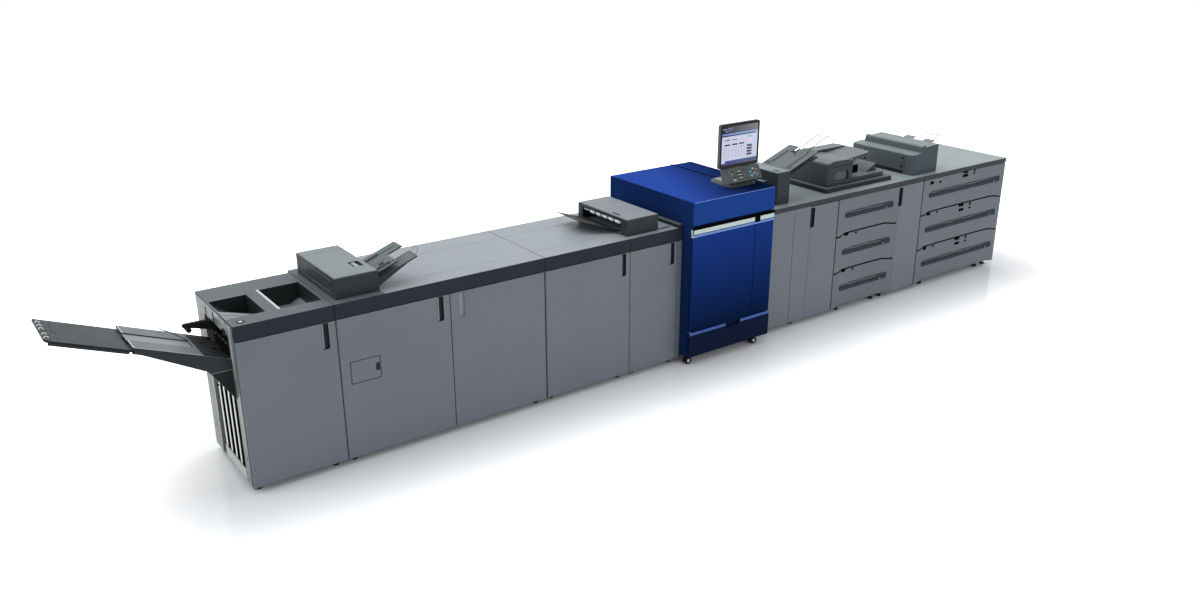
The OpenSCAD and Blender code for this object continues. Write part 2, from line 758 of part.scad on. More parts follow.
// ---- Operator panel ----
panel_y = -engine_out + 140;
console_x = [x_relay - 31 - console_w, x_relay - 31];
panel_foot_x = [console_x[0] + 57, console_x[1] - 40];
screen_axis = [0, panel_y + 92, engine_h + 160];
arm_w = 25;
arms_x = [console_x[0] + 50, console_x[1] - 50 - arm_w];
arm_r = 10;

// Foot plate, riser, sloping key console and the two arms with their pin
module panel_base() color(device) {
    along_z([engine_h, engine_h + 14]) soft_rect(panel_foot_x, [panel_y, panel_y + 240], 16);
    along_z([engine_h + 13, engine_h + 28])
        soft_rect([panel_foot_x[0] + 10, panel_foot_x[1] - 16], [panel_y + 12, panel_y + 226], 14);
    intersection() {
        along_x(console_x)
            polygon([[panel_y - 16, engine_h + 44], [panel_y - 10, engine_h + 36],
                     [panel_y + 10, engine_h + 27], [panel_y + 40, engine_h + 27],
                     [panel_y + 74, engine_h + 134], [panel_y + 68, engine_h + 140],
                     [panel_y + 34, engine_h + 140], [panel_y + 29, engine_h + 138]]);
        along_y([panel_y - 20, panel_y + 140])
            soft_rect(console_x, [engine_h + 27, engine_h + 140], 12);
    }
    for (x = arms_x)
        along_x([x, x + arm_w]) {
            translate([screen_axis[1], screen_axis[2]]) circle(arm_r);
            polygon([[panel_y + 44, engine_h + 50], [panel_y + 70, engine_h + 50],
                     [panel_y + 102, engine_h + 125], [panel_y + 102, screen_axis[2]],
                     [panel_y + 82, screen_axis[2]], [panel_y + 82, engine_h + 135],
                     [panel_y + 60, engine_h + 100]]);
        }
    rod_x([arms_x[0], arms_x[1] + arm_w], screen_axis[1], screen_axis[2], pin_r);
}

screen_x = [console_x[1] - 6 - screen_w, console_x[1] - 6];
screen_y = panel_y + 30;
screen_z = [screen_axis[2] - 13, screen_axis[2] - 13 + screen_h];

// Rounded housing with a sunk display and a smaller back shell
module screen() color(black)
    difference() {
        union() {
            along_y([screen_y, screen_y + 0.6 * screen_t]) soft_rect(screen_x, screen_z, 18);
            along_y([screen_y + 0.6 * screen_t - 1, screen_y + screen_t])
                soft_rect([screen_x[0] + 22, screen_x[1] - 22], [screen_z[0] + 4, screen_z[1] - 26], 24);
            for (x = [arms_x[0] + arm_w + 5, arms_x[1] - arm_w - 5])
                along_x([x, x + arm_w]) {
                    translate([screen_axis[1], screen_axis[2]]) circle(arm_r);
                    rect([screen_y + screen_t - 3, screen_axis[1]],
                         [screen_axis[2] - arm_r, screen_axis[2] + arm_r]);
                }
        }
        rod_x([console_x[0], console_x[1]], screen_axis[1], screen_axis[2], pin_r + fit);
        along_y([screen_y - 1, screen_y + 2])
            rect([screen_x[0] + 28, screen_x[1] - 20], [screen_z[0] + 30, screen_z[1] - 24]);
    }

// ---- Relay unit and upright inserter ----

module relay_housing() color(grey)
    block([x_relay, x_feeder_1 - seam], [0, unit_d], [door_z, under_z]);

up_x = [x_feeder_1 + 8 - upright_w, x_feeder_1 + 8];
up_y = [78, 78 + upright_d];
up_top = counter_h + upright_h;
up_mouth_d = 14;
up_v = [up_y[0] + 4, up_y[1] - 85];
// Each tray: [drop of its root below the top, length, length of the notch]
UP_TRAYS = [[3, 328, 94], [43, 328, 94]];

// Tall narrow body with a lower shoulder behind it, on the engine's side
module upright_inserter() color(device) {
    difference() {
        intersection() {
            along_y(up_y) domed_rect(up_x, [counter_h, up_top], 8);
            along_z([counter_h, up_top]) soft_rect(up_x, up_y, 10);
        }
        for (z = [[up_top - 22, up_top + 1], [up_top - 62, up_top - 34]])
            block([up_x[1] - up_mouth_d, up_x[1] + 1], [up_v[0] - 2, up_v[1] + 2], z);
        // Vent slots in the top, one pair at each side
        for (y = [up_y[0] + 56, up_y[1] - 62]) for (i = [0, 1])
            block([up_x[0] + 22 + 26 * i, up_x[0] + 34 + 26 * i], [y - 34, y + 34], [up_top - 8, up_top + 1]);
    }
    block([up_x[0] - 44, up_x[0] + 1], [up_y[0] + 110, up_y[1] - 12], [counter_h, up_top - 84]);
}

module upright_trays() color(device) {
    root_x = up_x[1] - up_mouth_d + fit;
    difference() {
        for (t = UP_TRAYS)
            sheet_tray(root_x, up_top - t[0], upright_slope, t[1], up_v,
                       [up_v[0] + 158, up_v[1] - 98], t[2], ins_tray_t);
        // Slots at the root for the feed fingers
        translate([root_x, 0, up_top - UP_TRAYS[0][0]]) rotate([0, -upright_slope, 0])
            for (v = [up_v[0] + 26, up_v[1] - 66]) for (i = [0:2])
                block([20, 62], [v + 17 * i, v + 17 * i + 7], [-5, 1]);
    }
    for (v = [up_v[0] + 60, up_v[1] - 64])
        side_guide(root_x, up_top - UP_TRAYS[0][0], upright_slope, [70, 250], v, 6);
}

// ---- Paper feeders ----

// Carcass with a deep drawer bay and, beside it, a shallow bay behind the door
module feeder_housing(x_left, x_door, x_drawers, x_right) {
    bay_z = [door_z + wall_t, under_z - wall_t];
    difference() {
        block([x_left, x_right], [body_y, unit_d], [door_z, under_z]);
        block([x_door + wall_t, x_drawers - wall_t], [body_y - 1, body_y + bay_d], bay_z);
        block([x_drawers + wall_t, x_right - wall_t], [body_y - 1, unit_d - wall_t], bay_z);
    }
}

module feeder_1_housing() color(grey) {
    feeder_housing(x_feeder_1, x_door_1, x_drawers_1, x_feeder_2);
    block([x_feeder_1, x_door_1 - door_gap / 2], [0, body_y + 1], [door_z, under_z]);
}

module feeder_2_housing() color(grey)
    feeder_housing(x_feeder_2, x_feeder_2, x_drawers_2, x_end);

runner_h = 20;
runner_w = 16;
tray_side_gap = 8;
tray_foot = 60;
runner_drop = 40;

function drawer_z(i) = door_z + (drawer_n - 1 - i) * drawer_pitch;

function tray_base(i) = drawer_z(i) + tray_foot;

function runner_top(i) = tray_base(i) + runner_drop + runner_h;

module drawer_runners() color("silver")
    for (x = [[x_drawers_1, x_feeder_2], [x_drawers_2, x_end]]) for (i = [0:drawer_n - 1])
        for (s = [[x[0] + wall_t, x[0] + wall_t + runner_w], [x[1] - wall_t - runner_w, x[1] - wall_t]])
            block(s, [body_y + 10, unit_d - wall_t], [runner_top(i) - runner_h, runner_top(i)]);

// Smooth step from 0 to 1, for the S curves
function ease(t) = t * t * (3 - 2 * t);

rise_n = 6;
fall_n = 9;

// Height of the S curve at points across a drawer front: a short rise near
// the left end, a long fall at the right end
function s_curve(x, z) =
    concat([[x[0], z]],
           [for (i = [0:rise_n]) [x[0] + 30 + 70 * i / rise_n, z + s_rise * ease(i / rise_n)]],
           [for (i = [0:fall_n]) [x[1] - 160 + 146 * i / fall_n, z + s_rise * (1 - ease(i / fall_n))]],
           [[x[1], z]]);

function backwards(p) = [for (i = [len(p) - 1:-1:0]) p[i]];

module front_outline(x, z) polygon(concat(s_curve(x, z[0]), backwards(s_curve(x, z[1]))));

// Plan of a drawer front: flat margins, and a shallow hollow between them
margin = [74, 26];
hollow_n = 24;

module front_plan(x) {
    a = x[0] + margin[0];
    w = x[1] - margin[1] - a;
    polygon(concat([[x[0], door_t], [x[0], 0]],
                   [for (i = [0:hollow_n]) [a + w * i / hollow_n, 4 * dish * (i / hollow_n) * (1 - i / hollow_n)]],
                   [[x[1], 0], [x[1], door_t]]));
}

// Handle pocket with round ends; a bar runs along its lower half and stands a
// little proud of the front
pod_d = 13;
bar_h = 26;
bar_out = 3;

module capsule(x, z, h) {
    for (u = [x[0] + h / 2, x[1] - h / 2]) translate([u, z + h / 2]) circle(h / 2);
    rect([x[0] + h / 2, x[1] - h / 2], [z, z + h]);
}

function pod_x(x) = [x[0] + 80, x[1] - 62];

function pod_z(i) = drawer_z(i) + drawer_pitch - 170;

// One drawer: shaped front, then an open paper tray with a rail each side
module drawer(x, i) {
    fx = [x[0] + door_gap / 2, x[1] - door_gap / 2];
    z0 = drawer_z(i) + (i == drawer_n - 1 ? 0 : door_gap / 2);
    z1 = drawer_z(i) + drawer_pitch - (i == 0 ? door_gap : door_gap / 2);
    difference() {
        intersection() {
            along_y([0, door_t]) front_outline(fx, [z0, z1]);
            along_z([door_z, under_z - door_gap]) front_plan(fx);
        }
        along_y([-1, pod_d]) capsule(pod_x(x), pod_z(i), pod_h);
    }
    along_y([-bar_out, pod_d + 1])
        capsule([pod_x(x)[0] + 4, pod_x(x)[1] - 4], pod_z(i) + 4, bar_h);
    tx = [x[0] + wall_t + runner_w + tray_side_gap, x[1] - wall_t - runner_w - tray_side_gap];
    zb = tray_base(i);
    difference() {
        block(tx, [door_t, door_t + drawer_tray_d], [zb, zb + drawer_wall_h]);
        block([tx[0] + drawer_wall_t, tx[1] - drawer_wall_t],
              [door_t + drawer_wall_t, door_t + drawer_tray_d - drawer_wall_t],
              [zb + drawer_wall_t, zb + drawer_wall_h + 1]);
    }
    rail_w = runner_w;
    for (s = [[tx[0] - rail_w, tx[0]], [tx[1], tx[1] + rail_w]])
        block(s, [door_t + 20, door_t + drawer_tray_d], [runner_top(i) + fit, runner_top(i) + 14]);
}

module drawer_1_top() color(grey) drawer([x_drawers_1, x_feeder_2], 0);
module drawer_1_middle() color(grey) drawer([x_drawers_1, x_feeder_2], 1);
module drawer_1_bottom() color(grey) drawer([x_drawers_1, x_feeder_2], 2);
module drawer_2_top() color(grey) drawer([x_drawers_2, x_end], 0);
module drawer_2_middle() color(grey) drawer([x_drawers_2, x_end], 1);
module drawer_2_bottom() color(grey) drawer([x_drawers_2, x_end], 2);

module countertops() color(pale)
    for (x = [[x_relay, x_feeder_2 - seam / 2], [x_feeder_2 + seam / 2, x_end]])
        block(x, [0, unit_d], [under_z, counter_h]);

// ---- Document feeder on the first feeder ----
scan_x = [x_feeder_2 - 7 - platen_w, x_feeder_2 - 7];
scan_y = [91, 91 + platen_d];
platen_top = counter_h + platen_t;
lid_gap = 6;
lid_z = platen_top + lid_gap;
lid_top = counter_h + lid_h;
lid_x = [scan_x[0] + 53, scan_x[1] - 60];
lid_y = [scan_y[0] + 42, scan_y[1] - 34];
lid_axis = [0, scan_y[1] + 6, platen_top + 20];
lid_arm_r = 12;
lid_arms_x = [scan_x[0] + 120, scan_x[1] - 240];
lid_arm_w = 60;

module platen_base() color(device) {
    along_z([counter_h, platen_top]) soft_rect(scan_x, scan_y, 8);
    for (x = lid_arms_x)
        along_x([x, x + lid_arm_w]) {
            translate([lid_axis[1], lid_axis[2]]) circle(lid_arm_r);
            rect([lid_axis[1] - lid_arm_r, lid_axis[1] + lid_arm_r], [counter_h, lid_axis[2]]);
        }
    rod_x([lid_arms_x[0] - 30, lid_arms_x[1] + lid_arm_w + 30], lid_axis[1], lid_axis[2], pin_r);
}

// Lid slab with the feed tower at its left, the sloping input tray, the
// raised rear cover and the output wedge
tower_x = [lid_x[0], lid_x[0] + 290];
tray_in_t = 12;
tray_in_l = 352;

module document_feeder() color(device)
    difference() {
        union() {
            along_z([lid_z, lid_z + 32]) soft_rect(lid_x, lid_y, 12);
            intersection() {
                along_y(lid_y)
                    polygon([[tower_x[0], lid_z], [tower_x[0], lid_top - 26], [tower_x[0] + 10, lid_top - 14],
                             [tower_x[0] + 62, lid_top - 2], [tower_x[0] + 74, lid_top],
                             [tower_x[1] - 30, lid_top - 6], [tower_x[1], lid_top - 26],
                             [tower_x[1], lid_z]]);
                along_z([lid_z, lid_top]) soft_rect([tower_x[0], tower_x[1] + 20], lid_y, 20);
                along_x(tower_x) domed_rect(lid_y, [lid_z, lid_top], 8);
            }
            // Input tray, from the feed slot up to the right
            translate([tower_x[1] - 80, 0, lid_top - 34]) rotate([0, -5, 0])
                along_z([0, tray_in_t]) {
                    r = 60;
                    rect([0, tray_in_l - r], [lid_y[0] + 44, lid_y[1] - 20]);
                    rect([tray_in_l - r - 1, tray_in_l], [lid_y[0] + 44 + r, lid_y[1] - 20]);
                    translate([tray_in_l - r, lid_y[0] + 44 + r]) circle(r);
                }
            // Rear cover, hinged over the paper path
            along_y([lid_y[1] - 120, lid_y[1]])
                polygon([[tower_x[0] + 70, lid_z + 1], [tower_x[0] + 70, lid_top - 10],
                         [tower_x[0] + 96, lid_top + 14], [lid_x[1] - 158, lid_top + 14],
                         [lid_x[1] - 142, lid_top + 2], [lid_x[1] - 142, lid_z + 1]]);
            // Output wedge on the slab
            along_y([lid_y[0] + 66, lid_y[1] - 170])
                polygon([[lid_x[1] - 150, lid_z + 31], [lid_x[1] - 34, lid_z + 92], [lid_x[1] - 16, lid_z + 31]]);
            for (x = lid_arms_x)
                along_x([x - 25, x - 5]) {
                    translate([lid_axis[1], lid_axis[2]]) circle(lid_arm_r);
                    rect([lid_axis[1] - 44, lid_axis[1]], [lid_axis[2] - 8, lid_axis[2] + lid_arm_r]);
                }
        }
        rod_x([scan_x[0], scan_x[1]], lid_axis[1], lid_axis[2], pin_r + fit);
        // Hand recess in the front of the tower
        along_y([lid_y[0] - 1, lid_y[0] + 50])
            domed_rect([tower_x[0] + 88, tower_x[1] - 44], [lid_z + 26, lid_z + 104], 26);
        // Joint line of the tower's hinged top
        along_x([tower_x[0] - 1, tower_x[1] + 1]) rect([lid_y[0] - 1, lid_y[0] + 2], [lid_top - 50, lid_top - 46]);
    }

// ---- Long inserter across the second feeder ----
long_x = [x_feeder_2 + 225, x_feeder_2 + 225 + long_w];
long_y = [62, 62 + long_d];
long_z = counter_h + long_h;
ridge_r = 24;
ridge_z = 45;
back_tray_v = [150, 450];

// Body with a low front shoulder, a round ridge and a higher lid behind it
module long_inserter() color(device) {
    top = long_z + 61;
    difference() {
        intersection() {
            along_y(long_y) {
                polygon([[long_x[0], counter_h], [long_x[1], counter_h], [long_x[1], top],
                         [long_x[0] + 165, top - 8], [long_x[0] + 142, top - 15],
                         [long_x[0] + 103, long_z + ridge_z], [long_x[0] + 98, long_z + 9],
                         [long_x[0] + 8, long_z], [long_x[0], long_z - 8]]);
                translate([long_x[0] + 103 + ridge_r, long_z + ridge_z]) circle(ridge_r);
            }
            along_z([counter_h, long_z + ridge_z + ridge_r]) nosed_rect(long_x, long_y, 36);
        }
        // Recessed black foot and the joint line of the front cover
        block([long_x[0] + 90, long_x[1] + 1], [long_y[1] - 46, long_y[1] + 1], [long_z + 6, top + 40]);
        block([long_x[0] - 1, long_x[0] + 12], [long_y[0] + 100, long_y[1] - 100], [counter_h - 1, counter_h + 30]);
        block([long_x[0] - 1, long_x[0] + 3], [long_y[0] + 106, long_y[0] + 109], [counter_h, long_z + 1]);
        block([long_x[1] - up_mouth_d, long_x[1] + 1], [back_tray_v[0] - 8, back_tray_v[1] + 8], [top - 24, top + 1]);
    }
}

module back_tray() color(device)
    sheet_tray(long_x[1] - up_mouth_d + fit, long_z + 50, 14, 78, back_tray_v,
               [back_tray_v[0] + 96, back_tray_v[1] - 96], 50, 6);

// ---- Feet and feeder casters ----
foot_inset = 60;
feet_y = [70, unit_d - 110];

module feet() color(black)
    for (x = [40, x_stitcher - foot_inset, x_stitcher + foot_inset, x_folder - foot_inset,
              x_folder + foot_inset, x_transport - foot_inset, x_transport + foot_inset,
              x_engine - foot_inset, x_relay + foot_inset, x_door_1 - 90, x_feeder_2 - foot_inset,
              x_end - foot_inset])
        for (y = feet_y)
            translate([x, y, 0]) {
                cylinder(r = 24, h = 8);
                translate([0, 0, 8]) cylinder(r1 = 24, r2 = 12, h = 6);
                cylinder(r = 8, h = door_z);
                translate([0, 0, door_z - 12]) cylinder(r = 14, h = 8, $fn = 6);
            }

module feeder_casters() color(black)
    for (x = [x_drawers_1 + 120, x_feeder_2 - 180, x_drawers_2 + 150, x_end - 200])
        for (y = [feet_y[0] - 10, feet_y[1] + 30])
            caster(x, y, door_z);

module placed() translate([-origin_x, -origin_y, 0]) children();

placed() trimmer_housing();
placed() trimmer_top();
placed() end_frame();
placed() guide_rails();
placed() exit_unit();
placed() trimmer_door();
placed() booklet_tray();
placed() tray_extension();
placed() stitcher_housing();
placed() stitcher_left_door();
placed() stitcher_right_door();
placed() service_hatch();
placed() stitcher_inserter();
placed() inserter_trays();
placed() folder_housing();
placed() folder_door();
placed() transport_housing();
placed() transport_door();
placed() relay_box();
placed() relay_tray();
placed() exit_rollers();
placed() front_bands();
placed() top_plates();
placed() door_hinges();
placed() engine_body();
placed() engine_head();
placed() engine_left_door();
placed() engine_right_door();
placed() engine_strips();
placed() engine_kick();
placed() engine_casters();
placed() panel_base();
placed() screen();
placed() relay_housing();
placed() upright_inserter();
placed() upright_trays();
placed() feeder_1_housing();
placed() feeder_1_door();
placed() drawer_runners();
placed() drawer_1_top();
placed() drawer_1_middle();
placed() drawer_1_bottom();
placed() feeder_2_housing();
placed() feeder_2_door();
placed() drawer_2_top();
placed() drawer_2_middle();
placed() drawer_2_bottom();
placed() countertops();
placed() platen_base();
placed() document_feeder();
placed() long_inserter();
placed() back_tray();
placed() feet();
placed() feeder_casters();
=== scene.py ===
# Digital production press: a blue print engine in the middle of a long line of
# grey finishing units and paper feeders, seen from the trimmer's end.
import math
from collections import namedtuple

import bmesh
import bpy
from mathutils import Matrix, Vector


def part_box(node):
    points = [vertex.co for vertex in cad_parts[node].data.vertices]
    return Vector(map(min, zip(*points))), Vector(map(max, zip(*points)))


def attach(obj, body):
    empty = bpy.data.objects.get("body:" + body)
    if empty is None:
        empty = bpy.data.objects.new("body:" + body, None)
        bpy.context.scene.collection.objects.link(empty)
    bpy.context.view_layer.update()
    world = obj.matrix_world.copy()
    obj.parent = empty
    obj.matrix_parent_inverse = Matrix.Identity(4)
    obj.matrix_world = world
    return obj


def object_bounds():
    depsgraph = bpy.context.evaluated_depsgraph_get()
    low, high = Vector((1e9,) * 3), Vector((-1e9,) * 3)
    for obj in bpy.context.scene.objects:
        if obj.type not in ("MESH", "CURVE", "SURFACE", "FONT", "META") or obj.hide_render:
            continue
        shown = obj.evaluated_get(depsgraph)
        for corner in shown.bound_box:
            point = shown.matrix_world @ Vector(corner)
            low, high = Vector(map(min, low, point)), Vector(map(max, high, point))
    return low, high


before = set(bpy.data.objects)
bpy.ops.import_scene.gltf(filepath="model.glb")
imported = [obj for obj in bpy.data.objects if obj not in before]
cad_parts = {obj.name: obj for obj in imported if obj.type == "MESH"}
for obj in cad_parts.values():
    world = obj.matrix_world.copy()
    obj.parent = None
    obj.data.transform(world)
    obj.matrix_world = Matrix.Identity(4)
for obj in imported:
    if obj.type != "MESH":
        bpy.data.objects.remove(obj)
cad_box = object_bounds()
scene = bpy.context.scene

# ---- The room ----
# A white studio with a pale floor and large soft lamps overhead, and a camera at
# the trimmer's end, well above the height of a person.

camera_place = Vector((-4.54092, -5.78627, 3.19401))
camera_turn = -35.966
camera_dip = 21.04
camera_lens = 31.328
floor_tone = (0.91, 0.915, 0.92, 1)
sky_tone = (0.94, 0.97, 1, 1)
sky_strength = 0.62
fade_reach = 1.5
line_middle = (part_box("trimmer_top")[0].x + cad_box[1][0]) / 2

camera = bpy.data.objects.new("camera", bpy.data.cameras.new("camera"))
camera.data.lens = camera_lens
camera.data.sensor_width = 36
camera.data.clip_end = 100
camera.location = camera_place
camera.rotation_euler = (math.radians(90 - camera_dip), 0, math.radians(camera_turn))
scene.collection.objects.link(camera)
scene.camera = camera
scene.view_settings.view_transform = "Standard"


def lamp(name, place, aim, size, power):
    """A soft rectangular studio lamp at place, turned towards aim."""
    light = bpy.data.lights.new(name, "AREA")
    light.shape = "RECTANGLE"
    light.size, light.size_y = size
    light.energy = power
    holder = bpy.data.objects.new(name, light)
    holder.location = place
    holder.rotation_euler = (Vector(aim) - Vector(place)).to_track_quat("-Z", "Y").to_euler()
    scene.collection.objects.link(holder)


lamp("overhead_lamp", (0, 1.2, 5.4), (0, 0, 0.6), (11, 4), 300)
lamp("end_lamp", (-8.5, 1.5, 3.6), (-2.5, 0, 0.7), (4, 3), 120)
lamp("front_lamp", (3, -8.5, 4.2), (1.5, 0, 0.6), (9, 3), 155)


def feed(tree, fed, **values):
    """Gives a node's inputs, by name or by number as i0, i1, their values, or outputs to link to.

    A node that is given as a value stands for its first output.
    """
    for label, value in values.items():
        numbered = label[0] == "i" and label[1:].isdigit()
        socket = fed.inputs[int(label[1:]) if numbered else label.replace("_", " ")]
        if isinstance(value, bpy.types.Node):
            value = value.outputs[0]
        if isinstance(value, bpy.types.NodeSocket):
            tree.links.new(value, socket)
        else:
            socket.default_value = value
    return fed


def node(tree, kind, settings=(), **values):
    """A shader node of that kind, with its settings and its inputs."""
    made = tree.nodes.new(f"ShaderNode{kind}")
    for label, value in dict(settings).items():
        setattr(made, label, value)
    return feed(tree, made, **values)


world = bpy.data.worlds.new("studio")
scene.world = world
world.use_nodes = True
sky = world.node_tree
sky.nodes.clear()
ray = node(sky, "LightPath")
bounced = node(sky, "Math", {"operation": "MAXIMUM"}, i0=ray.outputs["Is Glossy Ray"],
               i1=ray.outputs["Is Transmission Ray"])
seen = node(sky, "Math", {"operation": "MAXIMUM"}, i0=ray.outputs["Is Camera Ray"], i1=bounced)
sky_light = node(sky, "Background", Color=sky_tone, Strength=sky_strength)
sky_white = node(sky, "Background", Color=(1, 1, 1, 1), Strength=1)
sky_mix = node(sky, "MixShader", i0=seen, i1=sky_light, i2=sky_white)
node(sky, "OutputWorld", Surface=sky_mix)

floor_mesh = bpy.data.meshes.new("floor")
floor_mesh.from_pydata([(-30, -30, 0), (30, -30, 0), (30, 30, 0), (-30, 30, 0)], [], [(0, 1, 2, 3)])
floor = bpy.data.objects.new("floor", floor_mesh)
scene.collection.objects.link(floor)
floor_paint = bpy.data.materials.new("studio_floor")
floor_paint.use_nodes = True
floor_mesh.materials.append(floor_paint)
tree = floor_paint.node_tree
floor_coat = feed(tree, tree.nodes["Principled BSDF"], Base_Color=floor_tone, Roughness=0.12,
                  Specular_IOR_Level=0.35, Emission_Strength=1)

# The floor keeps the line's shadow near it and fades to plain white further away
centred = node(tree, "VectorMath", {"operation": "SUBTRACT"}, i0=node(tree, "TexCoord").outputs["Object"],
               i1=(line_middle, 0, 0))
past = node(tree, "VectorMath", {"operation": "ABSOLUTE"}, i0=centred)
beyond = node(tree, "VectorMath", {"operation": "SUBTRACT"}, i0=past,
              i1=(cad_box[1][0] - line_middle, cad_box[1][1], 0))
outside = node(tree, "VectorMath", {"operation": "MAXIMUM"}, i0=beyond, i1=(0, 0, 0))
away = node(tree, "VectorMath", {"operation": "LENGTH"}, i0=outside)
fade = node(tree, "MapRange", {"interpolation_type": "SMOOTHSTEP"}, i0=away.outputs["Value"], i1=0.0,
            i2=fade_reach)
ray = node(tree, "LightPath")
glow = node(tree, "Math", {"operation": "MULTIPLY"}, i0=ray.outputs["Is Camera Ray"], i1=fade)
white = node(tree, "CombineColor", i0=glow, i1=glow, i2=glow)
feed(tree, floor_coat, Emission_Color=white)

# ---- Grey unit housings ----
# Folded and welded sheet-steel cabinets, powder coated in a blue-grey satin. The
# coat is slightly mottled and grained, with a painted highlight along its edges.

coat_grey = (0.146, 0.165, 0.193, 1)
bend_radius = 0.0022


def effect(name, inputs, outputs):
    """A shader node group with named inputs (label, kind, value) and outputs (label, kind)."""
    tree = bpy.data.node_groups.new(name, "ShaderNodeTree")
    for label, kind, value in inputs:
        socket = tree.interface.new_socket(label, in_out="INPUT", socket_type=f"NodeSocket{kind}")
        socket.default_value = value
    for label, kind in outputs:
        tree.interface.new_socket(label, in_out="OUTPUT", socket_type=f"NodeSocket{kind}")
    return tree, tree.nodes.new("NodeGroupInput"), tree.nodes.new("NodeGroupOutput")


# Soft edges: the rounded normal of a folded or moulded edge, and a mask of where it is
soft_edges, given, result = effect(
    "soft_edges", [("Radius", "Float", 0.002)], [("Normal", "Vector"), ("Edge", "Float")])
bent = node(soft_edges, "Bevel", {"samples": 4}, Radius=given.outputs["Radius"])
flat = node(soft_edges, "NewGeometry")
turned = node(soft_edges, "VectorMath", {"operation": "DOT_PRODUCT"}, i0=bent,
              i1=flat.outputs["Normal"])
edge = node(soft_edges, "MapRange", i0=turned.outputs["Value"], i1=0.995, i2=0.86, i3=0.0, i4=1.0)
feed(soft_edges, result, Normal=bent, Edge=edge)

# Coat: a colour with a faint mottle, its gloss, and a fine grain
coat, given, result = effect(
    "coat",
    [("Color", "Color", (0.5, 0.5, 0.5, 1)), ("Mottle", "Float", 0.05), ("Roughness", "Float", 0.4),
     ("Grain size", "Float", 0.002)],
    [("Color", "Color"), ("Roughness", "Float"), ("Height", "Float")])
place = node(coat, "TexCoord")
cloud = node(coat, "TexNoise", Vector=place.outputs["Object"], Scale=1.7, Detail=3.0)
change = node(coat, "MapRange", i0=cloud.outputs["Fac"], i1=0.3, i2=0.7, i3=-1.0, i4=1.0)
amount = node(coat, "Math", {"operation": "MULTIPLY_ADD"}, i0=change,
              i1=given.outputs["Mottle"], i2=1.0)
tone = node(coat, "VectorMath", {"operation": "SCALE"}, i0=given.outputs["Color"], Scale=amount)
rub = node(coat, "TexNoise", Vector=place.outputs["Object"], Scale=9.0, Detail=4.0)
gloss = node(coat, "MapRange", i0=rub.outputs["Fac"], i1=0.3, i2=0.7, i3=-0.05, i4=0.05)
rough = node(coat, "Math", {"operation": "ADD"}, i0=gloss, i1=given.outputs["Roughness"])
fine = node(coat, "Math", {"operation": "DIVIDE"}, i0=1.0, i1=given.outputs["Grain size"])
grain = node(coat, "TexNoise", Vector=place.outputs["Object"], Scale=fine, Detail=1.0)
feed(coat, result, Color=tone, Roughness=rough, Height=grain.outputs["Fac"])


def use(tree, group, **values):
    """The effect, placed in a material with its own values."""
    return node(tree, "Group", {"node_tree": group}, **values)


def new_paint(name):
    """An empty material: its node tree and its Principled shader."""
    paint = bpy.data.materials.new(name)
    paint.use_nodes = True
    return paint, paint.node_tree, paint.node_tree.nodes["Principled BSDF"]


def finish_coat(tree, shader, color, mottle, roughness, grain_size, grain_depth, radius, edge_highlight_gain):
    """Feeds the shader with a coat over softly rounded edges, whose colour is raised there by the given
    gain as a painted highlight.
    """
    layer = use(tree, coat, Color=color, Mottle=mottle, Roughness=roughness, Grain_size=grain_size)
    edges = use(tree, soft_edges, Radius=radius)
    # Painted highlight: the coat's colour is raised along its edges
    lift = node(tree, "MapRange", i0=edges.outputs["Edge"], i1=0.0, i2=1.0, i3=1.0, i4=edge_highlight_gain)
    tone = node(tree, "VectorMath", {"operation": "SCALE"}, i0=layer.outputs["Color"], Scale=lift)
    bump = node(tree, "Bump", Height=layer.outputs["Height"], Normal=edges.outputs["Normal"],
                Distance=grain_depth, Strength=0.6)
    feed(tree, shader, Base_Color=tone, Roughness=layer.outputs["Roughness"],
         Normal=bump)


def dress(names, paint):
    """Gives the part's own nodes a material."""
    for name in names:
        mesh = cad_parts[name].data
        mesh.materials.clear()
        mesh.materials.append(paint)


grey_coat, tree, shader = new_paint("grey_powder_coat")
finish_coat(tree, shader, coat_grey, mottle=0.035, roughness=0.42, grain_size=0.0016,
            grain_depth=0.00012, radius=bend_radius, edge_highlight_gain=1.35)

dress(["trimmer_housing", "stitcher_housing", "folder_housing", "transport_housing", "relay_housing",
       "feeder_1_housing", "feeder_2_housing"], grey_coat)

# ---- Unit doors ----
# Steel door skins in the same coat, hung on concealed pins. Each has an upright slot to pull it open by,
# lined with a black moulded cup that has a paler lip; the right stitcher door's cup is painted pale as
# painted light.

black_tone = (0.010, 0.012, 0.014, 1)
lip_and_lit_cup_tone = (0.26, 0.285, 0.32, 1)
line_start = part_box("trimmer_top")[0]


def at(x, y, z):
    """The point x mm right of the line's left end, y mm behind its doors and z mm above the floor."""
    return Vector((line_start.x + x / 1000, line_start.y + y / 1000, z / 1000))


def span(x0, x1, y0, y1, z0, z1):
    """The lowest and the highest corner of a box given in millimetres along the line."""
    return at(x0, y0, z0), at(x1, y1, z1)


Extent = namedtuple("Extent", "left right front back foot head")


def extent(name):
    """Where a node lies, in millimetres along the line, to a tenth of one."""
    start = (line_start.x, line_start.y, 0)
    return Extent(*(round((corner[axis] - start[axis]) * 1000, 1)
                    for axis in range(3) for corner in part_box(name)))


def piece(name, mesh, paint, slot, body):
    """A finished piece: painted and riding on a body. Its slot is not used."""
    made = bpy.data.objects.new(name, mesh)
    scene.collection.objects.link(made)
    mesh.materials.append(paint)
    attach(made, body)
    return made


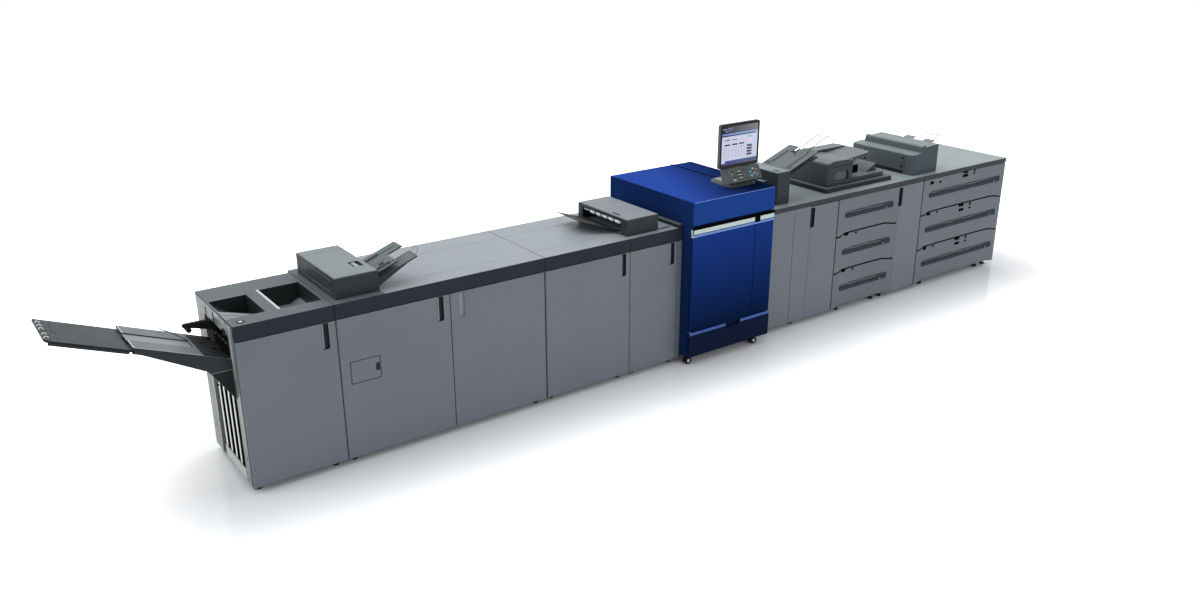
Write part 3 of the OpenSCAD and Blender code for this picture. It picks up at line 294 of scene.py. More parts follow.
def loft(name, runs, paint, slot, body="line", edge=0.0):
    """Solids in one mesh, each a skin over a run of closed outlines, with sharp edges rounded by edge."""
    shape = bmesh.new()
    for run in runs:
        rings = [[shape.verts.new(spot) for spot in outline] for outline in run]
        for low, high in zip(rings, rings[1:]):
            for here in range(len(low)):
                shape.faces.new((low[here - 1], low[here], high[here], high[here - 1]))
        shape.faces.new(reversed(rings[0]))
        shape.faces.new(rings[-1])
    bmesh.ops.recalc_face_normals(shape, faces=shape.faces)
    if edge:
        sharp = [line for line in shape.edges if line.calc_face_angle(0) > 0.6]
        bmesh.ops.bevel(shape, geom=sharp, offset=edge, segments=2, affect="EDGES", clamp_overlap=True)
    mesh = bpy.data.meshes.new(name)
    shape.to_mesh(mesh)
    shape.free()
    return piece(name, mesh, paint, slot, body)


def blocks(name, boxes, paint, slot, body="line", edge=0.0):
    """Rectangular pieces in one mesh, each from its lowest to its highest corner."""
    runs = []
    for low, high in boxes:
        foot = [Vector((x, y, low.z)) for x, y in ((low.x, low.y), (high.x, low.y), (high.x, high.y),
                                                   (low.x, high.y))]
        runs.append([foot, [Vector((spot.x, spot.y, high.z)) for spot in foot]])
    return loft(name, runs, paint, slot, body, edge)


def plain_paint(name, color, roughness=0.5, metallic=0.0, gloss=0.3):
    """A moulded or turned finish in one colour, with a light mottle and soft edges that carry a painted
    highlight.
    """
    paint, tree, shader = new_paint(name)
    finish_coat(tree, shader, color, mottle=0.06, roughness=roughness, grain_size=0.0012,
                grain_depth=0.00008, radius=0.0008, edge_highlight_gain=1.4)
    feed(tree, shader, Metallic=metallic, Specular_IOR_Level=gloss)
    return paint


black_plastic = plain_paint("black_plastic", black_tone, 0.46, gloss=0.2)
black_and_painted_shade = plain_paint("black_and_painted_shade", (0.003, 0.0035, 0.004, 1), 0.6, gloss=0.0)
lip_and_lit_cup_plastic = plain_paint("pale_lip_and_lit_cup", lip_and_lit_cup_tone, 0.4)
steel = plain_paint("bright_steel", (0.62, 0.64, 0.65, 1), 0.28, metallic=0.85, gloss=0.5)

dress(["trimmer_door", "stitcher_left_door", "stitcher_right_door", "folder_door", "transport_door",
       "feeder_1_door", "feeder_2_door", "service_hatch"], grey_coat)

# Slots in the doors: how far their left side stands in from the door's, their width,
# and how far their top lies below the door's, in millimetres
slot_h = 160
slot_d = 13.7
cup_wall = 0.8
grips = {"trimmer_door": (487, 44, 2), "stitcher_left_door": (647, 44, 2),
         "stitcher_right_door": (55, 44, 8), "folder_door": (615, 44, 2), "transport_door": (350, 44, 2),
         "feeder_1_door": (0.4, 39.6, 10), "feeder_2_door": (0.4, 39.6, 10)}

for door, (inset, width, drop) in grips.items():
    left = extent(door).left + inset
    right = left + width
    top = extent(door).head - drop
    foot = top - slot_h
    # The right stitcher door's cup is painted pale, as painted light falling into it; the others are black
    blocks(f"{door}_cup", [
        span(left, right, slot_d - cup_wall, slot_d, foot, top),
        span(left, left + cup_wall, 0.5, slot_d, foot, top),
        span(right - cup_wall, right, 0.5, slot_d, foot, top),
        span(left, right, 0.5, slot_d, foot, foot + cup_wall),
    ], lip_and_lit_cup_plastic if door == "stitcher_right_door" else black_plastic, "black_plastic", door)
    # The pale pull is the cup's lip, its paleness partly a painted highlight on the slot's edge
    if width > 40:
        blocks(f"{door}_pull", [span(left + 1.6, left + 13, 0.4, 12.7, foot + 3, top - 3)], lip_and_lit_cup_plastic,
               "grey_cover", door, 0.003)

# ---- Bands and top plates ----
# A dark slate band closes the front of each finishing unit below its lid, and
# pale sheet-steel lids lie on top with a joint line along each of their folds. The lids' pale tops are
# partly their own colour and partly painted light; both finishes are painted darker on upright faces as
# painted shade.

slate_side = (0.021, 0.028, 0.035, 1)
slate_top = (0.100, 0.117, 0.126, 1)
lid_pale = (0.232, 0.260, 0.282, 1)

# Painted light and shade by facing: surfaces that face up take the first colour, paler as if lit from
# above, upright ones the second, darker as if in shade, and those that face along the line the third
facing_light_tones, given, result = effect(
    "facing_light_tones", [("Top", "Color", (0.4, 0.4, 0.4, 1)), ("Side", "Color", (0.1, 0.1, 0.1, 1)),
                  ("End", "Color", (0.1, 0.1, 0.1, 1))],
    [("Color", "Color")])
facing = node(facing_light_tones, "SeparateXYZ", i0=node(facing_light_tones, "NewGeometry").outputs["Normal"])
along = node(facing_light_tones, "Math", {"operation": "ABSOLUTE"}, i0=facing.outputs["X"])
endwise = node(facing_light_tones, "MapRange", i0=along, i1=0.4, i2=0.9, i3=0.0, i4=1.0)
walls = node(facing_light_tones, "Mix", {"data_type": "RGBA"}, i0=endwise, i6=given.outputs["Side"],
             i7=given.outputs["End"])
share = node(facing_light_tones, "MapRange", i0=facing.outputs["Z"], i1=0.25, i2=0.85, i3=0.0, i4=1.0)
blend = node(facing_light_tones, "Mix", {"data_type": "RGBA"}, i0=share, i6=walls.outputs[2],
             i7=given.outputs["Top"])
feed(facing_light_tones, result, Color=blend.outputs[2])

# Drift: one colour passing into another along a direction across a piece; on the enamels and countertops
# it is a painted gradient of light and shade
drift, given, result = effect(
    "drift", [("From", "Color", (0.1, 0.1, 0.1, 1)), ("To", "Color", (0.4, 0.4, 0.4, 1)),
              ("Along", "Vector", (1, 0, 0))], [("Color", "Color")])
reach = node(drift, "VectorMath", {"operation": "DOT_PRODUCT"},
             i0=node(drift, "TexCoord").outputs["Generated"], i1=given.outputs["Along"])
passing = node(drift, "Mix", {"data_type": "RGBA"}, i0=reach.outputs["Value"], i6=given.outputs["From"],
               i7=given.outputs["To"])
feed(drift, result, Color=passing.outputs[2])


def facing_light_paint(name, top, side, roughness, gloss=0.3, radius=0.002, edge_highlight_gain=1.35, end=None,
                   mottle=0.05, drifts=()):
    """A grained finish with painted light and shade: paler where it faces up, darker on upright faces; end
    is its painted tone along the line.

    Gloss is its specular level. Drifts are (tone, colour that it passes into, direction), painted
    gradients of light and shade.
    """
    paint, tree, shader = new_paint(name)
    tones = use(tree, facing_light_tones, Top=top, Side=side, End=end or side)
    for label, far, way in drifts:
        passed = use(tree, drift, From=tuple(tones.inputs[label].default_value), To=far, Along=way)
        feed(tree, tones, **{label: passed})
    finish_coat(tree, shader, tones, mottle, roughness, grain_size=0.0014, grain_depth=0.00012,
                radius=radius, edge_highlight_gain=edge_highlight_gain)
    feed(tree, shader, Specular_IOR_Level=gloss)
    return paint


slate_plastic = facing_light_paint("slate_plastic", slate_top, slate_side, 0.48, 0.12)
pale_coat = facing_light_paint("pale_lid_coat", lid_pale, slate_side, 0.36, 0.3)
dress(["front_bands", "trimmer_top"], slate_plastic)
dress(["top_plates"], pale_coat)

# ---- Trimmer top, wells and end frame ----
# The trimmer's slate cover has two open wells where booklets pass, their walls lined
# with near-black sheet as painted shade, and a lit button. Its open end is folded from zinc sheet.

well_shade_tone = (0.016, 0.019, 0.020, 1)
slide_tone = (0.200, 0.215, 0.220, 1)
zinc_tone = (0.240, 0.250, 0.250, 1)


def rounded(u0, u1, v0, v1, r, steps=6):
    """Outline of a rectangle with round corners, in millimetres."""
    points = []
    corners = ((u1 - r, v1 - r, 0), (u0 + r, v1 - r, 90), (u0 + r, v0 + r, 180), (u1 - r, v0 + r, 270))
    for cu, cv, turn in corners:
        for step in range(steps + 1):
            angle = math.radians(turn + 90 * step / steps)
            points.append((cu + r * math.cos(angle), cv + r * math.sin(angle)))
    return points


def oblong(u0, u1, v0, v1):
    """Outline of a plain rectangle."""
    return [(u0, v0), (u1, v0), (u1, v1), (u0, v1)]


def prisms(name, shapes, paint, slot, body="line", edge=0.0):
    """Upright outlines given depth: (outline along the line and up, front, back) in millimetres."""
    runs = [[[at(x, y, z) for x, z in outline] for y in (front, back)] for outline, front, back in shapes]
    return loft(name, runs, paint, slot, body, edge)


def slabs(name, shapes, lay, paint, slot, body="line", edge=0.0):
    """Flat pieces on a sheet: (outline in its own plane, low, high), laid by the function lay."""
    runs = [[[lay(u, v, n) for u, v in outline] for n in (low, high)] for outline, low, high in shapes]
    return loft(name, runs, paint, slot, body, edge)


def rods(name, parts, paint, slot, body="line", around=32):
    """Turned parts in one mesh: (start, end, radius in mm), with a small chamfer at both ends."""
    runs = []
    for start, end, radius in parts:
        axis = end - start
        radius = radius / 1000
        cut = min(radius * 0.18, axis.length * 0.2)
        turn = axis.to_track_quat("Z", "Y").to_matrix()
        angles = [2 * math.pi * k / around for k in range(around)]
        ring = [Vector((math.cos(angle), math.sin(angle), 0)) for angle in angles]
        runs.append([[start + turn @ (spot * reach + Vector((0, 0, height))) for spot in ring]
                     for height, reach in ((0, radius - cut), (cut, radius), (axis.length - cut, radius),
                                           (axis.length, radius - cut))])
    return loft(name, runs, paint, slot, body)


well_shade_paint = plain_paint("well_shade_black", well_shade_tone, 0.38)
slide_sheet = plain_paint("grey_slide", slide_tone, 0.4)
zinc_bright_and_highlight = plain_paint("bright_zinc_and_highlight", zinc_tone, 0.36, metallic=0.3, gloss=0.35)
zinc_grey_and_highlight = plain_paint("grey_zinc_and_highlight", (0.20, 0.215, 0.22, 1), 0.42, metallic=0.3)
bright_rim_and_highlight = plain_paint("bright_rim_and_highlight", (0.50, 0.52, 0.52, 1), 0.34, metallic=0.2)
rail_steel = plain_paint("pale_rail", (0.85, 0.87, 0.87, 1), 0.4)
dress(["end_frame"], zinc_bright_and_highlight)
dress(["guide_rails"], rail_steel)
dress(["door_hinges"], zinc_grey_and_highlight)

# The bin's guide rails: a black sheet beside each of them, painted shade on the channel wall behind the
# rail
rails = extent("guide_rails")
rail_rows = (185.9, 273.9, 361.9, 449.9)
rail_gap = 0.8
blocks("rail_shades", [span(7, rails.right - 0.1, y - rail_gap, y, rails.foot + 1, rails.head - 1)
                       for y in rail_rows], black_and_painted_shade, "black_plastic")

# Liners of the wells: front, back and end walls, near-black as painted shade, sloping slides, the left
# slide's rear part in the same painted shade, and a folded floor
cover_top = extent("trimmer_top").head
well_foot = 917
liner = 0.8
left_well = (8.5, 227, 130.2, 469.8)
right_well = (311.5, 555.5, 120.2, 499.8)
liners = [span(110, 170, 134, 220, 936, 938)]
for (x0, x1, y0, y1), head, ends in (
        (left_well, cover_top - 1, [(227, 920, cover_top - 1)]),
        (right_well, cover_top - 0.5, [(555, 946, cover_top - 0.5), (311.2, 954, cover_top - 3)])):
    liners += [span(x0, x1, y1 - liner, y1, well_foot, head),
               span(x0, x1, y0, y0 + liner, well_foot, head)]
    liners += [span(x, x + liner, y0 + 0.3, y1 - 0.3, low, high) for x, low, high in ends]
blocks("well_shade_liners", liners, well_shade_paint, "slate_cover")
slide_slats = ((132, 50), (190, 44), (242, 56))
prisms("left_slide", [([(9, 1038), (204, 982), (204, 983), (9, 1039)], y, y + w)
                      for y, w in slide_slats], slide_sheet, "grey_cover")
prisms("left_slide_rear", [([(9, 1033.5), (184, 920.5), (184, 921.3), (9, 1034.3)], 304, 468)],
       well_shade_paint, "slate_cover")
prisms("right_floor", [([(312.5, 954.2), (421, 916.3), (495, 916.3), (554.5, 945.8), (554.5, 946.6),
                              (495, 917.1), (421, 917.1), (312.5, 955)], 122, 498)],
       slide_sheet, "grey_cover")

# Rims: a broad bright bar between the wells, and narrow bright strips along their edges that are painted
# highlights
rim_low = cover_top - 3
rim_high = cover_top + 0.3
blocks("well_rims", [
    span(297, 311.4, 116, 500.5, cover_top - 2, cover_top + 2),
    span(7.2, 8.2, 129.5, 470.5, rim_low, rim_high),
    span(311, 556.4, 499.6, 500.6, rim_low, rim_high),
    span(8, 228.6, 469.6, 470.6, rim_low, rim_high),
], bright_rim_and_highlight, "zinc")

# Button: a grey disc in a dark ring, around a lit dot, each standing over the one around it
lamp_dot = plain_paint("lit_dot", (0.75, 0.80, 0.80, 1), 0.3)
button = {"ring": (23, 0, black_and_painted_shade, "black_plastic", 48), "disc": (16, 0.6, zinc_grey_and_highlight, "zinc", 48),
          "cup": (11, 1.2, zinc_grey_and_highlight, "zinc", 48), "dot": (6, 1.8, lamp_dot, "light_strip", 32)}
for part, (radius, lift, paint, slot, around) in button.items():
    foot = cover_top + lift
    rods(f"button_{part}", [(at(62, 55, foot), at(62, 55, foot + 1), radius)], paint, slot, around=around)

# Screws, slots and grooves of the end frame
screws = ((58, 90), (58, 420), (58, 760), (565, 90), (565, 420), (565, 700), (615, 660), (615, 90),
          (660, 380), (660, 720))
rods("frame_screws", [(at(0, y, z), at(-0.6, y, z), 4.2) for y, z in screws], steel, "zinc", around=16)
blocks("frame_slots", [
    span(-0.3, 0.4, y, y + w, z, z + h) for y, z, w, h in (
        (52, 200, 8, 26), (52, 610, 8, 26), (80, 880, 5, 5), (558, 240, 8, 22), (575, 800, 6, 30),
        (585, 840, 5, 5), (640, 180, 6, 24), (640, 560, 6, 24), (676, 240, 5, 5),
        (600, 60, 2.4, 870), (630, 60, 2.4, 870), (667, 60, 2.4, 870), (104, 130, 3, 860),
        (40, 84, 9, 6), (58, 66, 12, 7), (82, 56, 6, 5), (96, 96, 5, 5))
], black_and_painted_shade, "slate_cover")
# Bright sheet: the sill's face, a strip down the front post and a stay under the cover, partly the zinc's
# own brightness and partly painted light where the real sheet is lit
blocks("frame_sheet", [span(-0.7, 0.3, 116, 486, 44, 117), span(-0.7, 0.3, 66, 92, 700, 1028),
                       span(-0.7, 0.3, 165, 340, 1004, 1030)], bright_rim_and_highlight, "zinc")
# Back wall behind the waste bin's rails, black as painted shade, the drop chute over it and the sheet
# under the exit
blocks("bin_back", [span(60, 62, 112, 550, 46, 690)], black_and_painted_shade, "slate_cover")
prisms("drop_chute", [([(62, 696), (148, 640), (149, 641.5), (63, 697.5)], 114, 476)],
       slide_sheet, "grey_cover")
blocks("bin_lip", [span(4.2, 5.4, 114, 476, 96, 99)], bright_rim_and_highlight, "zinc")

# ---- Booklet exit and tray ----
# A black press arm and rubber rollers lay finished booklets on a steel tray that
# slopes up away from the trimmer. The outer part slides and has wire hooks.

tray_tone = (0.117, 0.134, 0.144, 1)
slider_tone = (0.056, 0.065, 0.070, 1)
tray_shade = (0.022, 0.026, 0.030, 1)
cheek_shade_tone = (0.016, 0.020, 0.023, 1)
tray_slope = math.radians(21.4)
tray_root_z = 822

# Both coats are painted paler on top and dark on their upright faces, as painted light and shade
dress(["booklet_tray"], facing_light_paint("tray_coat", tray_tone, tray_shade, 0.42, 0.22))
dress(["tray_extension"], facing_light_paint("slider_coat", slider_tone, tray_shade, 0.42, 0.05))
rubber = plain_paint("rubber", (0.013, 0.014, 0.015, 1), 0.6, gloss=0.2)
dress(["exit_unit"], rubber)


def on_tray(l, y, n):
    """The point l mm up the tray's slope from its root, at y along the floor, n mm above its face."""
    return at(-(l * math.cos(tray_slope) - n * math.sin(tray_slope)), y,
              tray_root_z + l * math.sin(tray_slope) + n * math.cos(tray_slope))


def wires(name, paths, radius, paint, slot, body="line", bend=8):
    """Bent wires of one radius in millimetres; each path is a list of points, its corners rounded."""
    runs = []
    for path in paths:
        points = [path[0]]
        for before, corner, after in zip(path, path[1:], path[2:]):
            back, ahead = before - corner, after - corner
            reach = min(bend / 1000, back.length * 0.45, ahead.length * 0.45)
            start, end = corner + back.normalized() * reach, corner + ahead.normalized() * reach
            for step in range(6):
                t = step / 5
                points.append(start * (1 - t) ** 2 + corner * 2 * t * (1 - t) + end * t * t)
        points.append(path[-1])
        rings = []
        side = (points[1] - points[0]).orthogonal().normalized()
        for here, spot in enumerate(points):
            ahead = (points[min(here + 1, len(points) - 1)] - points[max(here - 1, 0)]).normalized()
            side = (side - ahead * side.dot(ahead)).normalized()
            up = ahead.cross(side)
            angles = [math.pi * k / 5 for k in range(10)]
            rings.append([spot + (side * math.cos(angle) + up * math.sin(angle)) * radius / 1000
                          for angle in angles])
        runs.append(rings)
    return loft(name, runs, paint, slot, body)


# Channel floor, its dark mouth, bright edge trims that are painted highlights, and the skirts over both
# cheeks, dark as painted shade; a pale crease and pale wires along their edges are painted highlights
slabs("tray_channel", [(oblong(172, 523, 238, 358), -6.8, -6.2)], on_tray, slide_sheet, "grey_cover")
slabs("tray_trims", [(oblong(518, 524.5, 104, 236), -1, 0.8), (oblong(518, 524.5, 360, 486), -1, 0.8),
                     (oblong(150, 524, 103, 105.5), 0, 1.4)], on_tray, bright_rim_and_highlight, "zinc", edge=0.0002)
skirt_shade_paint = plain_paint("painted_skirt_shade", cheek_shade_tone, 0.42)
cheek = [(-1, 821), (-487.8, 1011.5), (-487.8, 983), (-134, 779), (-120, 760), (-1, 574)]
prisms("tray_skirts", [(cheek, 99.2, 100.2), (cheek, 489.8, 490.8)], skirt_shade_paint,
       "slate_cover")
prisms("skirt_crease", [(oblong(-132, -2, 760, 763), 98.6, 99.4)], zinc_grey_and_highlight, "zinc")
prisms("skirt_foot", [([(-8, 754), (-116, 754), (-8, 586)], 98.5, 99.3)], rubber, "black_plastic")
skirt_edge = ((-487, 983.5), (-134, 779.5), (-120, 760.5), (-2, 575))
wires("skirt_edges", [[at(x, 98.8, z) for x, z in skirt_edge]], 0.7, zinc_grey_and_highlight, "zinc")
# Black paddles that hold the booklets down, and the pull rod behind them
slabs("tray_paddles", [(rounded(18, 112, 176, 236, 8), 0, 5), (rounded(18, 112, 352, 420, 8), 0, 5),
                       (rounded(4, 70, 250, 345, 8), 2, 9),
                       ([(6, 116), (150, 116), (120, 168), (6, 168)], 0, 4)],
      on_tray, rubber, "black_plastic", edge=0.001)
slabs("tray_root_strip", [(oblong(40, 152, 108, 482), 0.1, 0.8)], on_tray, rubber, "black_plastic")
wires("pull_rod", [[on_tray(178, 328, 9), on_tray(240, 425, 14), on_tray(300, 488, 12)]], 3, rubber,
      "black_plastic", bend=30)
rods("tray_knob", [(at(-92, 96, 690), at(-92, 99.5, 690), 7)], rubber, "black_plastic", around=20)

# The sliding part: a flange dark as painted shade, wire hooks at its end, and small holes before them;
# a black strip in its mouth is a painted shadow under the fixed tray's end
slabs("slider_flange", [(oblong(530, 925, 122, 124), -45, -29)], on_tray, skirt_shade_paint, "slate_cover",
      "tray_extension")
slabs("slider_mouth", [(oblong(501, 531, 213, 334), -16.9, -16.4)], on_tray, black_and_painted_shade, "black_plastic",
      "tray_extension")
hook_rows = (150, 205, 292, 345, 400)
hook_bends = ((922, -17), (922, -8), (941, -6), (943, -19))
wires("tray_hooks", [[on_tray(l, y, n) for l, n in hook_bends] for y in hook_rows], 2.6, lamp_dot, "zinc",
      "tray_extension", bend=5)
slabs("hook_roots", [(oblong(902, 926, y - 6, y + 6), -17.2, -16.6) for y in hook_rows], on_tray, rubber,
      "black_plastic", "tray_extension")
holes = ((867, 456), (869, 409), (885, 358), (885, 283), (869, 262), (871, 175))
rods("tray_holes", [(on_tray(l, y, -17.2), on_tray(l, y, -16.7), 5.5) for l, y in holes],
     black_and_painted_shade, "black_plastic", "tray_extension", around=16)

# ---- Inserter on the stitcher ----
# A moulded sheet feeder whose two trays stand out over the top plate. The trays
# have side guides in slots, and wire stops hold the sheets at their ends.

device_top = (0.165, 0.195, 0.201, 1)
device_side = (0.028, 0.036, 0.041, 1)
sheet_tray_tone = (0.100, 0.119, 0.124, 1)

# The inserter's plastics are painted paler on top and dark on upright faces as painted light and shade,
# with a painted highlight along the edges
device_plastic = facing_light_paint("device_plastic", device_top, device_side, 0.42, 0.18, radius=0.003,
                                edge_highlight_gain=1.8)
sheet_tray_plastic = facing_light_paint("sheet_tray_plastic", sheet_tray_tone, device_side, 0.42, 0.15)
dress(["stitcher_inserter", "upright_inserter", "back_tray"], device_plastic)
dress(["inserter_trays", "upright_trays"], sheet_tray_plastic)


def sheet_lay(root_x, root_z, slope):
    """A lay for slabs: l up a sheet tray's slope from its root, y along the floor, n above its face."""
    turn = math.radians(slope)
    return lambda l, y, n: at(root_x + l * math.cos(turn) - n * math.sin(turn), y,
                              root_z + l * math.sin(turn) + n * math.cos(turn))


tray_root = extent("inserter_trays").left
sheet_slope = 20
upper_lay = sheet_lay(tray_root, 1152, sheet_slope)
lower_lay = sheet_lay(tray_root, 1110, sheet_slope)
lids = extent("top_plates")
inserter = extent("stitcher_inserter")
hole = (inserter.left - 1, inserter.right + 1, inserter.front - 1, inserter.back + 1)
plinth = (lids.head - 0.4, lids.head + 0.8)
blocks("inserter_plinth", [
    span(lids.left + 1, hole[0], lids.front + 1, lids.back - 1, *plinth),
    span(hole[0], hole[1], lids.front + 1, hole[2], *plinth),
    span(hole[1], hole[1] + 4, lids.front + 1, lids.back - 1, *plinth),
    span(hole[0], hole[1], hole[3], lids.back - 1, *plinth),
], slate_plastic, "slate_cover")
blocks("inserter_latch", [span(795.5, 810, 190.5, 284.5, 1168.2, 1169),
                          span(836, 859.5, 214, 284.5, 1168.2, 1169)], black_plastic, "black_plastic")
blocks("latch_tab", [span(811, 835, 196, 280, 1168.5, 1175)], lip_and_lit_cup_plastic, "grey_cover", edge=0.0015)
blocks("inserter_joints", [
    span(inserter.left + 1, inserter.right - 1, 567, 570, inserter.head - 0.6, inserter.head + 0.2),
    span(inserter.left - 0.3, inserter.left + 0.4, inserter.front + 4, inserter.back - 4, 1153, 1155),
], black_plastic, "black_plastic")
slabs("inserter_slots", [(oblong(24, 150, 98, 106), 0, 0.5), (oblong(96, 236, 264, 273), 0, 0.5),
                         (oblong(46, 126, 176, 181), 0, 0.5), (oblong(60, 92, 136, 152), 0, 4)],
      upper_lay, black_plastic, "black_plastic")
# Bright strips along the trays' ends are painted highlights on their edges; the short bright bars on the
# lower tray are its feed fingers
slabs("inserter_tray_edges", [(oblong(152.5, 155, 84, 212), 0, 0.6),
                              (oblong(259, 261.6, 232, 316), 0, 0.6)], upper_lay, zinc_bright_and_highlight, "zinc")
finger_rows = (104, 128, 152)
slabs("lower_tray_edge", [(oblong(294, 296.6, 88, 176), 0, 0.6)]
      + [(oblong(190, 280, y, y + 5), 0, 2) for y in finger_rows], lower_lay, zinc_bright_and_highlight, "zinc",
      edge=0.0005)
wires("inserter_stops", [
    [lower_lay(284, 104, 2), lower_lay(312, 104, 4), lower_lay(326, 108, 26), lower_lay(328, 158, 26),
     lower_lay(312, 164, 4), lower_lay(284, 164, 2)],
], 2, zinc_grey_and_highlight, "zinc", bend=9)

# ---- Service hatch ----
# A small steel flap in the stitcher's door with a black turn latch at its right.

hatch = extent("service_hatch")
blocks("hatch_latch", [span(hatch.right - 23, hatch.right - 2, -1.2, 1, hatch.foot + 58, hatch.head - 50)],
       black_plastic, "black_plastic", "service_hatch", edge=0.0006)

# ---- Low relay box ----
# A moulded bridge box carries sheets into the transport unit. White rollers run
# along the upper edge of its mouth, over an output tray; the tray and the mouth's walls are near-black,
# partly as painted shade.

box_top = (0.145, 0.167, 0.180, 1)
box_side = (0.021, 0.027, 0.031, 1)
mouth_shade_tone = (0.012, 0.014, 0.015, 1)

# The box is painted paler on top and dark on its upright faces, as painted light and shade
box_plastic = facing_light_paint("relay_box_plastic", box_top, box_side, 0.38, 0.25)
dress(["relay_box"], box_plastic)
roller_white = plain_paint("white_roller", (0.80, 0.82, 0.82, 1), 0.42)
dress(["exit_rollers"], roller_white)
mouth_shade_paint = plain_paint("painted_mouth_shade", mouth_shade_tone, 0.5, gloss=0.2)
dress(["relay_tray"], mouth_shade_paint)
relay = extent("relay_box")
mouth_left = relay.left + 2
mouth_foot = relay.foot + 9
mouth_head = relay.head - 26
blocks("relay_mouth_shade", [
    span(2843, 2844.5, 121, 579, mouth_foot, mouth_head),
    span(mouth_left, 2844, 120.3, 121.3, mouth_foot, mouth_head),
    span(mouth_left, 2844, 578.7, 579.7, mouth_foot, mouth_head),
    span(mouth_left, 2844, 121, 579, mouth_head + 0.2, mouth_head + 1),
], mouth_shade_paint, "slate_cover")
for name, slot_box in (
        ("relay_top_slot", span(2750, 2766, 172, 262, 1158.2, 1159)),
        ("relay_top_joint", span(2766, relay.right - 2, 214, 215.2, relay.head - 0.6, relay.head + 0.1)),
        ("transport_slot", span(3020, 3120, 56, 78, lids.head - 0.4, lids.head + 0.4))):
    blocks(name, [slot_box], black_plastic, "black_plastic")
wires("relay_wires", [
    [at(2700, 260, 1078), at(2600, 262, 1106), at(2545, 280, 1122), at(2545, 330, 1122)],
    [at(2700, 480, 1078), at(2560, 482, 1118), at(2530, 500, 1126), at(2530, 560, 1126)],
], 1.6, black_plastic, "black_plastic", bend=20)

# ---- Print engine ----
# Deep blue enamelled panels on a welded frame. The front has white and light blue strips under
# the head cover, a painted highlight along its top fold, and a ledge painted light blue as a painted
# highlight.

blue_top = (0.021, 0.056, 0.278, 1)
blue_top_painted_shade = (0.003, 0.009, 0.034, 1)
blue_side = (0.0035, 0.012, 0.045, 1)
blue_side_painted_light = (0.012, 0.042, 0.230, 1)
blue_head = (0.016, 0.058, 0.270, 1)
blue_end = (0.007, 0.024, 0.095, 1)
kick_blue = (0.004, 0.010, 0.034, 1)
ledge_highlight_blue = (0.035, 0.10, 0.34, 1)

# Painted light and shade: the blue is paler where it faces up, darker on upright faces, with a third tone
# on its ends; upright faces are painted darker towards the foot, and the head's top darker towards its
# right as a painted reflection
engine_enamel = facing_light_paint("blue_enamel", blue_top, blue_side, 0.34, 0.0, end=blue_end,
                               mottle=0.02, drifts=[("Side", blue_side_painted_light, (0, 0, 1))])
head_enamel = facing_light_paint("blue_head_enamel", blue_top, blue_head, 0.32, 0.0, end=blue_end,
                             mottle=0.02, drifts=[("Top", blue_top_painted_shade, (1.3, -0.6, 0))])
kick_enamel = facing_light_paint("dark_blue_enamel", kick_blue, kick_blue, 0.45, 0.03)
dress(["engine_body", "engine_left_door", "engine_right_door"], engine_enamel)
dress(["engine_head"], head_enamel)
dress(["engine_kick"], kick_enamel)
white_strip = plain_paint("white_strip", (0.59, 0.69, 0.68, 1), 0.3)
blue_strip = plain_paint("blue_strip", (0.16, 0.275, 0.68, 1), 0.35)
dress(["engine_strips"], white_strip)
head = extent("engine_head")
strips = extent("engine_strips")
strip_run = (strips.left + 0.2, strips.right - 0.2)
strip_joint = 1006
gap_foot = 1043
blocks("blue_strip_cover", [span(*strip_run, strips.front - 0.6, strips.front + 0.2, strips.foot + 0.2,
                                 strip_joint)], blue_strip, "blue_cover")
blocks("strip_line", [span(*strip_run, strips.front - 0.5, strips.front + 0.2, strip_joint,
                           strip_joint + 5)], kick_enamel, "blue_cover")
# The band across the head cover's foot is a painted shadow in the gap under its front; the short upright
# blocks and the groove across the top are dark gaps
blocks("head_gap", [
    span(head.left + 0.6, head.right - 0.6, head.front - 0.7, head.front + 0.5, gap_foot, gap_foot + 26),
    span(3785, 3837, head.front - 0.8, head.front + 0.5, 1001, gap_foot),
    span(3187.5, 3196, head.front - 0.8, head.front + 0.5, 1014, gap_foot),
    span(3784, 3804, 270, head.back - 1, head.head - 0.4, head.head + 0.5),
], black_and_painted_shade, "black_plastic")
# A painted highlight along the head's top front fold
fold_highlight = plain_paint("fold_highlight_paint", (0.13, 0.21, 0.60, 1), 0.3, gloss=0.0)
fold_y = head.front + 4.8
fold_z = head.head - 4.8
rods("head_fold", [(at(head.left + 16, fold_y, fold_z), at(head.right - 14, fold_y, fold_z), 3)],
     fold_highlight, "blue_cover", around=12)
kick = extent("engine_kick")
ledges = ((kick.left + 1, 3306), (3311, 3539), (3684, kick.right - 1))
# The ledges are painted light blue as a painted highlight along the kick's top
blocks("engine_ledge", [span(x0, x1, kick.front - 0.8, kick.front + 5, kick.head - 21, kick.head + 1)
                        for x0, x1 in ledges],
       plain_paint("ledge_highlight_enamel", ledge_highlight_blue, 0.32), "blue_cover", edge=0.0008)
wheel_axis = 27
hubs = []
for x in (3218, 3881):
    for y in (-50, 815):
        hubs.append((at(x, y - 21.6, wheel_axis), at(x, y - 20, wheel_axis), 12))
rods("caster_hubs", hubs, steel, "zinc", around=24)
dress(["engine_casters"], rubber)

# ---- Operator panel ----
# A moulded key console on a riser at the engine's right, and a flat screen that
# tilts on two arms. The keys are small caps; the screen shows a plain job page.

panel_top = (0.170, 0.185, 0.178, 1)
panel_side = (0.050, 0.056, 0.054, 1)
panel_end = (0.120, 0.138, 0.140, 1)
console_tone = (0.066, 0.076, 0.074, 1)
screen_black = (0.009, 0.010, 0.011, 1)
key_tones = {"pale": (0.50, 0.52, 0.52, 1), "dim": (0.16, 0.175, 0.175, 1),
             "dark": (0.010, 0.011, 0.012, 1), "amber": (0.55, 0.55, 0.16, 1),
             "cyan": (0.08, 0.36, 0.48, 1), "rose": (0.80, 0.45, 0.58, 1)}

